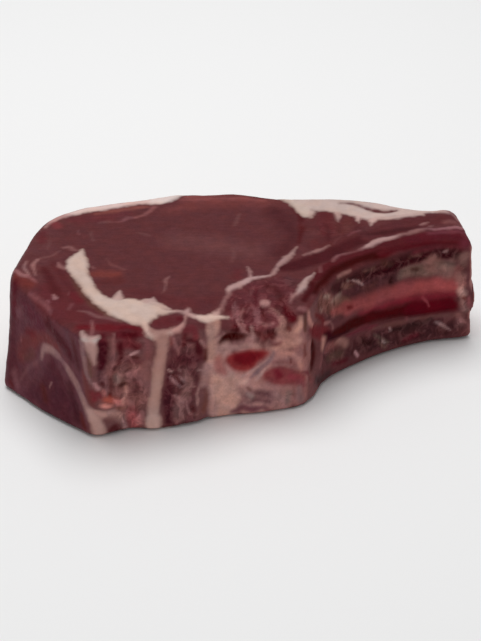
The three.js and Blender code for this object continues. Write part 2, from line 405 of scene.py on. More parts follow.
OVER_THE_BACKBONE = [
    # torn meat, with grey, red and pink bits and hollows
    ((95, 45, 49), 4, [(-1, -24, 5), (5, -22, 7), (12, -20, 6), (14, -14, 3)]),
    ((104, 52, 56), 3, [(-3, -31, 2.6), (4, -31, 4), (10, -30, 3)]),
    ((84, 46, 49), 3, [(15, -12, 1.4), (17.4, -16, 2.2)]),
    ((88, 37, 41), 2, [(-5.4, -29, 1), (-4.4, -25, 1.4)]),
    ((78, 22, 28), 1.8, [(-3.4, -34.6, 0.6), (-2, -34, 1)]),
    ((72, 24, 29), 1.8, [(1.6, -33.6, 0.8), (3.6, -33.4, 0.9)]),
    ((96, 48, 50), 1.8, [(-0.8, -28.6, 0.7), (0.6, -29.2, 0.6)]),
    ((76, 28, 29), 1.6, [(6.4, -26.4, 0.6), (7.4, -29, 0.6)]),
    ((84, 34, 38), 2, [(-0.6, -31.8, 0.8), (1.2, -30, 0.9), (3, -30.6, 0.8)]),
    ((82, 36, 38), 1.8, [(7, -31.6, 0.7), (8.2, -30, 0.6)]),
    ((128, 80, 84), 2, [(-2, -30.6, 0.8), (-2.6, -27.6, 0.7)]),
    ((126, 78, 80), 2, [(4.4, -28.6, 0.9), (5.4, -31.2, 0.8)]),
    ((84, 29, 35), 2, [(4.4, -19, 0.5), (4.2, -23, 0.8), (4.4, -26, 0.5)]),
    ((78, 30, 33), 3, [(8.6, -17, 1.2), (11.6, -19.6, 1.4), (12.8, -23, 1.3)]),
    # clots
    ((76, 20, 26), 2, [(14.6, -28.4, 1.5), (16.4, -30, 1.6)]),
    ((66, 18, 22), 2, [(21, -24, 1.4), (22.8, -20, 1.2), (24, -15, 1)]),
    # pink bit
    ((124, 79, 80), 1.6, [(19.2, -27, 0.8), (20.8, -28, 0.8)]),
    # tissue over the bone
    ((162, 120, 110), 2, [(-10, -35.2, 2.2), (-10.4, -37.6, 2.4), (-10.9, -39, 2)]),
]

LEFT_END = [
    # the wall, and a paler spot on it
    ((71, 34, 40), 5, [(-83, 30, 5), (-83, 15, 4), (-82.6, 4, 3)]),
    ((72, 22, 30), 4, [(-80.4, 41, 1.8), (-80.6, 36, 1.8), (-81, 31, 1.4)]),
    ((73, 32, 41), 5, [(-76, 36, 3), (-70, 34.6, 3), (-74, 30, 1.4)]),
    ((87, 41, 42), 5, [(-79, 16, 1.8), (-76.6, 22, 2.8), (-73, 26.6, 3), (-68, 30, 2.2), (-64, 30, 1.6)]),
    ((80, 45, 44), 4, [(-77, 17, 1.6), (-74, 20, 1.6)]),
    ((83, 32, 36), 3, [(-75.6, 27.4, 1.2), (-73, 28.4, 1.2)]),
    ((60, 19, 25), 4, [(-67, 37, 2), (-63, 34.6, 2.4), (-60, 33, 2.4), (-58.6, 29, 1.6)]),
    ((66, 30, 34), 3, [(-57, 38, 1.4), (-56.4, 32, 1.6), (-56, 27, 1.2)]),
    ((92, 56, 62), 3, [(-77.4, 35, 0.6), (-78.6, 33, 1.3), (-79, 31, 0.6)]),
    # the hollow under the arch
    ((66, 31, 38), 3, [(-66, 21.4, 2), (-66, 14, 6.2), (-66, 6, 8.6), (-66, 1, 8)]),
    ((68, 33, 40), 4, [(-72, 7, 3.4), (-76, 3, 2.6)]),
    ((60, 27, 33), 3, [(-60, 17, 1.8), (-58.6, 11, 2.2), (-57.6, 5, 2.4)]),
    ((70, 31, 31), 3, [(-70.6, 10, 1.2), (-69.6, 6, 1.4)]),
    ((72, 29, 28), 2.4, [(-55.8, 8, 0.8), (-55, 3, 1.2)]),
    # the foot at the left edge
    ((92, 55, 60), 3, [(-82, 8, 1.6), (-81, 4.4, 1.8)]),
    ((74, 28, 31), 2, [(-84, 3.6, 0.8), (-83, 2.4, 0.8)]),
]

FRONT_LEFT = [
    # ground
    ((100, 62, 61), 3, [(-46, 26, 1.8), (-39, 27, 5.4), (-38.6, 18, 6), (-38, 8, 5), (-37.6, 2, 4.4)]),
    ((126, 84, 81), 3, [(-42.6, 25.4, 0.8), (-39.6, 24.6, 1.6), (-36.4, 25.8, 1.4)]),
    ((131, 84, 80), 3, [(-42.6, 12.8, 0.7), (-40.4, 12, 1)]),
    ((78, 40, 42), 3, [(-36.8, 20.4, 0.8), (-34.8, 18.6, 1.2), (-37.4, 16.4, 0.9)]),
    ((76, 36, 40), 3, [(-40.4, 30.4, 0.5), (-37.6, 29.2, 0.8), (-34.6, 28.8, 0.6)]),
    ((93, 59, 62), 3, [(-48, 26.4, 1.2), (-47, 23, 1.8), (-46.4, 20, 1.4)]),
    ((122, 79, 79), 3, [(-38, 24.6, 1.6), (-35, 24, 1.8), (-33.8, 20, 1.2)]),
    ((104, 79, 76), 2.4, [(-43, 24, 1), (-42.6, 21.6, 1)]),
    # wine red strip
    ((87, 46, 46), 2, [(-54.2, 27.4, 0.6), (-53.8, 22.6, 1.1), (-52.4, 17.4, 1.4), (-50.9, 13.6, 0.9)]),
    ((95, 37, 42), 2, [(-51.4, 19, 0.9), (-50.6, 16.4, 1.1)]),
    # the seam, its dark red deepened with painted shade in its groove, wine red meat, paler meat by the band
    # of fat, and pits
    # the seam: its own dark red, made darker with painted shade in the groove
    ((82, 30, 36), 2, [(-47, 41, 1.3), (-46.8, 38, 1.7)]),
    ((57, 17, 24), 2, [(-46.9, 37, 1.9), (-47.1, 32, 1.9), (-47.7, 28.4, 1.2)]),
    ((74, 44, 47), 1.8, [(-48.8, 26.8, 0.6), (-48.6, 24.4, 0.6)]),
    ((86, 30, 36), 2.4, [(-42, 40, 1.6), (-38.4, 39.8, 2), (-35, 39.4, 1.4)]),
    ((93, 38, 42), 2.4, [(-41.4, 36, 1.6), (-38, 36.4, 2), (-35.4, 35.4, 1.2)]),
    ((76, 20, 26), 2, [(-39.6, 39.6, 0.9), (-36.4, 39.4, 1.1)]),
    ((60, 16, 21), 2, [(-41.3, 36.4, 1), (-41.2, 32.4, 1.2), (-42.4, 29.4, 0.7)]),
    ((72, 23, 27), 2, [(-36.6, 36, 1), (-36, 34.6, 1)]),
    ((58, 18, 21), 1.8, [(-37.4, 31.2, 0.6), (-35.8, 30.6, 0.6)]),
    ((105, 62, 63), 3, [(-32.6, 38, 0.8), (-32.4, 34.4, 1.2), (-32.6, 30, 1)]),
    ((106, 69, 68), 3, [(-32.4, 28, 1.2), (-33.2, 20, 1.3), (-34.4, 10, 1.3), (-34.8, 2, 1)]),
    ((44, 17, 15), 1.8, [(-41.8, 19.4, 0.8), (-40.6, 19.2, 0.9)]),
    ((60, 38, 34), 1.8, [(-41.4, 22.4, 0.5), (-41.2, 21, 0.7)]),
    ((62, 18, 21), 1.8, [(-47.6, 22.4, 0.7), (-46.9, 21.4, 0.7)]),
    ((72, 36, 36), 1.6, [(-45, 24, 0.4), (-44.8, 20, 0.6), (-45.2, 16.6, 0.6)]),
    ((72, 36, 39), 1.6, [(-44.8, 26, 0.5), (-43.2, 28, 0.5)]),
    ((76, 40, 40), 1.6, [(-40.2, 25.4, 0.4), (-38.4, 26.6, 0.5)]),
    # red patch, with a painted highlight on it
    ((128, 66, 68), 3, [(-38.8, 9, 1.2), (-38.4, 5, 2.2), (-38, 2, 1.6)]),
    # painted highlight on the red patch
    ((150, 98, 98), 2, [(-36.6, 6, 0.5), (-36.6, 3, 0.7)]),
    ((84, 42, 42), 2, [(-39.4, 9.6, 0.8), (-38.6, 8.6, 0.7)]),
    # the foot
    ((101, 61, 53), 2, [(-44, 10.8, 0.6), (-41.4, 10.4, 0.7)]),
    ((138, 104, 99), 3.6, [(-48.6, 9.4, 1.5), (-46, 9.2, 1.4), (-43.4, 7.6, 1.1), (-42, 5, 0.7)]),
    ((68, 29, 31), 2, [(-46, 1.2, 1.1), (-44.9, 3, 1.5), (-43.8, 1.2, 1.3)]),
    ((138, 102, 101), 1.6, [(-42, 5.4, 0.6), (-41.3, 2.8, 0.8), (-40.8, 0.6, 0.6)]),
]

FRONT_RIGHT = [
    # purple ground
    ((84, 48, 50), 3, [(-22, 33, 3), (-21, 25, 5), (-21.4, 15, 5.6), (-22, 4, 5)]),
    ((108, 74, 73), 3, [(-20, 21, 2), (-19, 15, 2.6), (-21.6, 10, 2), (-22.4, 4.4, 2)]),
    ((68, 30, 35), 4, [(-24, 31.6, 1), (-21.4, 28, 2), (-17, 26.6, 2.6), (-14, 26.6, 1.4)]),
    ((60, 19, 24), 2.4, [(-18.6, 35, 1.4), (-16, 33.4, 1.2), (-15.2, 29.4, 1.7)]),
    ((72, 36, 40), 4, [(-24.6, 26.6, 1), (-22, 22.4, 1.2), (-23.6, 18.6, 0.8)]),
    ((74, 38, 42), 3, [(-18.6, 21.6, 0.8), (-16.4, 18.2, 1), (-17, 12.4, 0.7)]),
    # brown core
    ((68, 34, 31), 2, [(-12.7, 29, 0.6), (-12.9, 26, 0.7)]),
    # purple edge
    ((61, 25, 31), 2.4, [(-25, 25.4, 0.7), (-25.8, 17, 1.5), (-26.2, 10, 1.7), (-26, 2.6, 1.4)]),
    # lobe
    ((97, 42, 46), 2, [(-19.6, 38.4, 1.5), (-17.4, 38, 1.6), (-16.6, 36, 1.2)]),
    ((66, 18, 22), 1.8, [(-20.2, 37, 0.6), (-20.4, 33.4, 0.6)]),
    # brown patch, dark spot and grey strip
    ((93, 55, 50), 1.8, [(-13, 12.4, 0.4), (-13.3, 8.8, 0.9), (-13.5, 5, 1.1)]),
    ((70, 29, 30), 1.6, [(-17.9, 7, 0.6), (-17.6, 5.6, 0.6)]),
    ((134, 99, 96), 2.4, [(-13, 23, 0.9), (-13.2, 18.6, 1.5), (-13.8, 14.8, 1)]),
]

BACKBONE = [
    # ground, columns, and beige and pink patches
    ((146, 109, 104), 2.4, [(-8, 30, 3.6), (-7.4, 18, 4.8), (-7, 6, 5), (-7, 1, 4.6)]),
    ((143, 104, 100), 2.4, [(2, 26, 4.6), (2, 14, 5.4), (3, 6, 5), (4, 1, 4.6)]),
    ((132, 93, 90), 2.4, [(11, 28, 3.6), (11, 18, 5.4), (12, 8, 5.4), (12, 1, 5)]),
    ((119, 79, 77), 2.4, [(18.6, 34, 1.8), (19.4, 26, 3.4), (20, 14, 3.6), (20, 4, 3.4)]),
    ((143, 108, 100), 2.4, [(-11, 37, 1.2), (-10.9, 31, 1.2), (-10.6, 26, 1.2)]),
    ((132, 97, 93), 2.4, [(-8.6, 31, 0.8), (-8.2, 27.6, 1), (-4, 28.8, 0.9), (4, 28.8, 0.9)]),
    ((157, 119, 110), 3, [(-9.6, 17, 1.6), (-7, 11, 4), (-4, 8, 4.6), (-6.4, 2.6, 3)]),
    ((147, 113, 106), 3, [(-4.6, 17, 1.6), (-2.4, 15, 1.4)]),
    ((174, 134, 125), 2.4, [(-1.4, 13.6, 0.8), (0.4, 14.4, 1)]),
    ((133, 82, 78), 3, [(-8.6, 25, 1.4), (-8, 21, 1.9), (-6.8, 18.6, 1)]),
    ((148, 106, 98), 2.4, [(11, 27, 1.2), (15, 28, 2.2), (19, 28, 1.6)]),
    ((109, 69, 68), 2.4, [(10.4, 21, 0.9), (14, 20.6, 1), (18.2, 19, 1)]),
    # marrow
    ((110, 40, 41), 2.6, [(-3.6, 24.2, 2.8), (0, 22.8, 4.3), (4.6, 24.6, 2.8), (7.6, 25, 1)]),
    ((90, 19, 25), 2.4, [(-2.2, 24.6, 1.7), (1.2, 23.8, 2.8), (5, 24.8, 1.4)]),
    ((106, 50, 52), 2.6, [(8.6, 15.8, 2), (12, 15.4, 3.7), (16.6, 13.6, 3.2), (20.4, 12, 1.8)]),
    ((96, 28, 37), 2.4, [(11.2, 17.2, 1), (12.4, 15.4, 1.4)]),
    ((112, 46, 53), 2.4, [(16.4, 14.2, 1.1), (19, 12.8, 1.2)]),
    ((102, 52, 57), 4, [(19.6, 10.8, 1.4), (21.2, 9.2, 1.2)]),
    # cartilage
    ((112, 84, 86), 1.4, [
        (10.4, 25, 0.4), (9, 22.4, 0.9), (6.4, 19.5, 1), (4.2, 17.2, 0.9), (2.6, 15.6, 0.4)]),
    # beige streak and the column at the right
    ((150, 105, 98), 2.4, [(12.6, 24.6, 0.8), (15.6, 23.8, 0.9), (18.6, 21.8, 0.8), (20.1, 18, 0.8)]),
    ((140, 95, 88), 1.6, [(20.1, 18, 0.7), (20.4, 15.2, 0.5)]),
    ((87, 44, 41), 1.8, [(21.2, 25, 0.6), (21.6, 21, 0.8)]),
    ((116, 76, 74), 1.8, [(22.8, 25, 0.7), (22.9, 20, 0.9), (23.4, 16.4, 0.7)]),
    # the upper part, with its seam and hollow
    ((121, 84, 83), 2, [(-2, 31, 1.2), (3, 31.4, 1.4)]),
    ((137, 97, 91), 2.4, [(12.6, 33, 1.6), (16, 30.6, 2), (18.6, 32, 2)]),
    ((150, 108, 101), 1.8, [(12.8, 36, 0.8), (13.4, 34.6, 0.9)]),
    ((160, 116, 105), 1.8, [(19.4, 36.6, 0.6), (19.5, 33.6, 1.1), (18.8, 31.4, 0.8)]),
    ((80, 18, 25), 2, [(14.6, 38, 1.2), (16.6, 36.4, 1.4)]),
    ((80, 32, 29), 1.8, [(15.2, 33.6, 0.7), (16, 32.8, 0.6)]),
    ((72, 44, 38), 1.4, [(21, 37.4, 0.4), (21.2, 34, 0.6), (21.4, 30.6, 0.4)]),
    ((80, 35, 36), 2.6, [(6.2, 32.6, 1.2), (8, 31, 1.5), (9.8, 32, 1.5), (9.6, 29.8, 0.8)]),
    ((58, 16, 18), 1.8, [(10.2, 33.4, 0.4), (10.4, 30.4, 0.5), (8.4, 33.2, 0.3)]),
    ((98, 58, 58), 2, [(9.4, 28.6, 0.8), (11.2, 27.9, 1), (12.6, 28.6, 0.6)]),
    # the hole: its own dark red, and painted shade for its depth
    ((48, 7, 10), 2.4, [(-8, 31.6, 0.8), (-5.6, 32.6, 1.6), (-2.8, 32.8, 2), (-0.8, 32.6, 1.6)]),
    ((60, 15, 18), 1.6, [(-3.6, 35.2, 0.4), (-1.6, 34.8, 0.5)]),
    ((80, 28, 31), 1.6, [(1.4, 34.3, 0.5), (4.2, 33.6, 0.5)]),
    # the low part
    ((88, 52, 46), 1.8, [(1.4, 11.4, 0.5), (2.4, 10.2, 0.7)]),
    ((124, 88, 84), 3, [(-1.8, 12.4, 0.8), (-0.8, 9.8, 1.2)]),
    ((104, 68, 70), 3, [(0.2, 7, 1.1), (-0.6, 4.8, 1.1)]),
    ((105, 72, 72), 3.4, [(1, 8, 1.4), (5, 8, 2.2), (9, 7, 2)]),
    ((127, 102, 99), 1.8, [(1.6, 9, 0.6), (3.2, 7.8, 0.9)]),
    ((84, 52, 55), 3, [(5.4, 9.4, 0.5), (7.4, 8.2, 1), (10.6, 8.6, 0.6)]),
    ((82, 50, 54), 2.4, [(2.4, 5.4, 0.4), (5.4, 6.2, 0.7), (9, 4.4, 0.6)]),
    ((92, 54, 60), 2.6, [(-3.4, 2, 0.9), (0, 3.6, 1.3), (3, 2.4, 1.6), (6, 2.8, 0.9), (9, 1, 0.8)]),
    ((122, 89, 87), 2.4, [(11, 8, 1.2), (13.4, 5.6, 1.6)]),
    ((110, 85, 82), 2.4, [(16, 7, 1.1), (15.6, 3.6, 1.2)]),
    ((108, 78, 78), 2.4, [(19.6, 8, 1.4), (20.4, 3.4, 1.6)]),
    # seam of the corner
    ((86, 33, 39), 1.6, [(20.6, 14.6, 0.5), (22.4, 13.4, 0.7), (23.6, 10.8, 0.8), (24.6, 7.4, 0.6)]),
]

FOLDS = [
    # ground and shades
    ((92, 58, 54), 3, [(27, 37, 2.6), (30, 32, 3.4), (32.6, 29, 3)]),
    ((80, 28, 30), 2, [(25, 33.6, 0.6), (27, 30, 0.9), (28.4, 26.8, 0.9)]),
    ((88, 54, 50), 2, [(27.6, 35, 0.6), (29.6, 31, 0.9), (31.4, 28.4, 0.8)]),
    ((51, 28, 27), 2.4, [(31.6, 37.6, 1.4), (35, 35.6, 1.8)]),
    ((124, 98, 91), 1.8, [(28.4, 36.6, 0.7), (30, 35, 0.9)]),
    ((116, 86, 80), 1.8, [(26.8, 33.6, 0.5), (27.4, 31.8, 0.7)]),
    ((66, 40, 35), 1.4, [(26, 37, 0.4), (26.2, 34.6, 0.5)]),
    ((88, 56, 52), 2, [(33, 39.4, 0.7), (35.6, 39, 0.9)]),
    # slit
    ((84, 30, 34), 3, [(23.4, 29.4, 1.4), (25.6, 26, 2.6), (28, 22.8, 3), (30, 20.6, 2.4)]),
    ((50, 8, 10), 2.4, [(24.6, 22.6, 1.4), (25.2, 19, 1.8), (25.2, 15.4, 1.6), (24.8, 12, 0.8)]),
    ((94, 55, 55), 2.4, [(24, 12.6, 0.9), (24.2, 9.4, 1.2), (24.6, 6.6, 1)]),
    # beige fold, and the fold below
    ((146, 98, 91), 1.8, [(22.3, 37.4, 0.5), (22.8, 33.4, 0.9), (24.2, 29.8, 0.6)]),
    ((56, 35, 36), 3, [(25.8, 7, 1), (27.6, 3.6, 1.8), (31, 3, 1.6)]),
]

RIB_SIDE = [
    # wall, with its hollow and its end; the wall under the rim and its hollow are darkened with painted
    # shade
    # painted shade: the wall under the overhanging rim, and the darker hollow in it
    ((53, 23, 25), 3, [(33, 37, 2.4), (40, 36.4, 3.4), (50, 35.6, 3.6), (62, 38, 3), (78, 38, 3)]),
    ((47, 13, 18), 2.4, [(46, 35, 1.2), (52, 34.6, 1.6), (57, 36.6, 1.6), (68, 37, 1.7), (76.6, 36.6, 1.4)]),
    ((65, 35, 32), 2.4, [(50.6, 39, 1.2), (53.4, 36.8, 1)]),
    ((84, 54, 49), 2.4, [(35.2, 36.6, 0.9), (37.4, 34, 1.2), (39, 33.4, 0.7)]),
    ((74, 46, 42), 2, [(43.4, 38.4, 0.6), (46.6, 38.2, 0.8)]),
    ((72, 42, 40), 2, [(60.4, 38.8, 0.6), (64.4, 39, 0.7)]),
    ((76, 31, 36), 2, [(62, 40.4, 0.9), (70, 40.6, 0.9), (79, 40.4, 0.8)]),
    ((104, 72, 68), 3, [(76.6, 33.4, 0.7), (79, 35, 1.4), (81, 35.6, 1.8), (80.8, 32.6, 1.6)]),
    ((62, 34, 34), 3, [(78, 36.8, 0.6), (78.2, 34.6, 0.8)]),
    ((70, 38, 41), 2.4, [(37, 31.6, 1.6), (44, 31.8, 2), (51, 31.4, 2), (55, 30.6, 1.4)]),
    ((75, 41, 41), 2, [(42.6, 31, 0.8), (48, 31.4, 1)]),
    # grey patch
    ((101, 75, 70), 3, [(57.4, 31.2, 1.5), (61, 31.9, 2), (66, 31.4, 2.3), (71, 32, 2.5), (76, 31, 2.2)]),
    ((130, 101, 96), 2, [(70.4, 31.4, 1), (74, 31, 1.3)]),
    ((98, 73, 67), 2, [(57.6, 32.6, 0.8), (60, 33, 0.7), (65.8, 32.4, 0.7)]),
    ((64, 38, 34), 1.8, [(61.6, 32.4, 0.7), (63.4, 32, 0.8)]),
    # green, pink and crimson patches; the crimson under the rib's bulge is its own dark red, deepened with
    # painted shade
    ((96, 65, 58), 2.6, [(33.4, 31, 1.4), (37, 29, 1.4)]),
    ((110, 84, 77), 2.4, [(31.4, 32.4, 0.8), (34, 32.6, 1)]),
    ((122, 64, 63), 2.4, [(32, 28, 1.2), (37, 27.2, 2)]),
    ((122, 60, 61), 4, [(37, 27.2, 2), (43, 26.6, 2.6), (50, 26.2, 2.8), (57, 25.8, 2.8)]),
    ((130, 62, 63), 4, [(57, 25.8, 2.8), (65, 25.2, 3), (72, 24.8, 3.2), (78, 24.4, 3)]),
    ((74, 14, 17), 1.6, [(37.6, 27, 0.6), (38.6, 26.8, 0.6)]),
    ((98, 28, 38), 4, [(42, 23.4, 0.8), (50, 22.8, 1.4), (60, 22, 1.6), (70, 21, 1.6), (78, 20.4, 1.2)]),
    # the crimson under the rib: its own dark red, and painted shade under the bulge
    ((46, 10, 17), 2.4, [(29.4, 21, 1.4), (32, 19, 2.6), (37, 19.6, 3)]),
    ((44, 10, 17), 2, [(30.6, 22, 0.8), (31.4, 18.6, 1)]),
    ((50, 3, 11), 3, [(33, 20.6, 1.8), (39, 20.4, 2.6), (46, 19.6, 3)]),
    ((57, 4, 14), 4, [(46, 19.6, 3), (54, 18.2, 3.3), (63, 17, 3.8)]),
    ((69, 5, 19), 3, [(63, 17, 3.8), (70, 16.3, 4), (76.2, 16, 3.6), (78.2, 14.8, 2.2)]),
    # under the rib
    ((90, 40, 47), 2.4, [(38.6, 15, 1.4), (43, 15.4, 1.8), (48, 13.4, 1.2)]),
    # ledge, foot and corner
    ((86, 53, 52), 1.6, [(48, 12.2, 0.7), (58, 11.6, 0.9), (68, 11.2, 0.8), (80, 11, 0.7)]),
    ((62, 33, 35), 3, [(38, 8, 2.8), (46, 7, 3.2), (58, 6, 3.4), (70, 5.4, 3.4), (80, 5.6, 3)]),
    ((40, 17, 17), 2.4, [(44, 8.8, 0.9), (47, 7.4, 0.9)]),
    ((50, 28, 29), 2.4, [(56, 9.2, 1.1), (62, 9, 1.3), (70, 9.6, 1)]),
    ((72, 26, 33), 2.4, [(60, 4, 1), (65, 4.4, 1.3)]),
    ((66, 20, 27), 2.4, [(33, 5.2, 0.8), (37.6, 4.8, 0.9)]),
    ((92, 70, 64), 1.8, [(48.4, 9.6, 0.5), (50.6, 7.6, 0.6), (53.6, 5, 0.6)]),
    ((94, 66, 60), 1.8, [(49.6, 6.2, 0.5), (52.4, 3.2, 0.6)]),
    ((104, 62, 61), 3, [(30.2, 14.2, 1.4), (33.4, 13, 1.4)]),
    ((119, 83, 78), 2.6, [(34.4, 13.6, 1.2), (36.9, 11.3, 1.5)]),
    ((76, 52, 48), 3, [(30.8, 9.2, 1.5), (35.2, 8.4, 1.8)]),
    # the last stretch before the sawn end
    ((120, 70, 68), 3.4, [(79.4, 30.4, 1.2), (79.8, 27.6, 1.4)]),
    ((138, 92, 88), 3, [(80.2, 26.8, 1), (81, 23.6, 1.3)]),
    ((150, 112, 106), 2.6, [(80.6, 22, 1.2), (82, 20, 1.2)]),
    ((112, 80, 77), 3, [(81.8, 17.6, 0.8), (82.8, 14.6, 1), (83.4, 12.4, 1)]),
    ((76, 32, 30), 1.4, [(82, 19, 0.6), (82.8, 18.4, 0.6)]),
    ((112, 63, 66), 2, [(84.2, 18, 0.8), (84.6, 14, 0.9)]),
    ((110, 72, 71), 3, [(81, 11, 1.2), (82.2, 7.4, 1.6)]),
    ((82, 46, 47), 2, [(81.4, 4.6, 0.8), (82.6, 3, 0.8)]),
]

RIB_END = [
    # meat, its rim and edge
    ((96, 48, 50), 6, [(24, 38, 5), (26, 24, 6), (25, 8, 5)]),
    ((92, 38, 46), 4, [(13, 41, 2), (19, 41.4, 2.2)]),
    ((112, 76, 72), 4, [(11.4, 35.4, 1.8), (11.2, 31, 1.8), (11.4, 27.6, 1.4)]),
    ((104, 66, 66), 4, [(12.6, 6.4, 1.6), (12.6, 3, 1.4)]),
    ((124, 72, 70), 4, [(21.6, 31, 1.4), (22.4, 22, 1.6), (21.6, 6, 1.4)]),
    # bone, marrow and skin
    ((164, 126, 117), 2.6, [(15.4, 25.4, 1.4), (18.4, 22, 1.5), (18.8, 14.4, 1.5), (15.8, 10.6, 1.3)]),
    ((112, 46, 48), 2.6, [(15.8, 21.4, 1.5), (16, 15.6, 1.8)]),
    ((176, 146, 138), 4, [(33, 41, 1), (33, 26, 1.8), (33, 8, 1.4)]),
]

BELOW = [
    # the sawn backbone and its marrow
    ((148, 110, 104), 2.4, [(-6, -32, 5), (5, -29.6, 6.6), (15, -26.4, 5.6)]),
    ((108, 42, 46), 3, [(-2.6, -30.6, 2.2), (6, -28.6, 3), (13, -25.6, 1.8)]),
]

AREAS = [
    (TOP, CAP),
    (TOP, EYE),
    (TOP, ROUND_THE_EYE),
    (TOP, OVER_THE_BACKBONE),
    (SIDE, LEFT_END),
    (SIDE, FRONT_LEFT),
    (SIDE, FRONT_RIGHT),
    (SIDE, BACKBONE),
    (SIDE, FOLDS),
    (SIDE, RIB_SIDE),
    (END, RIB_END),
    (UNDER, BELOW),
]

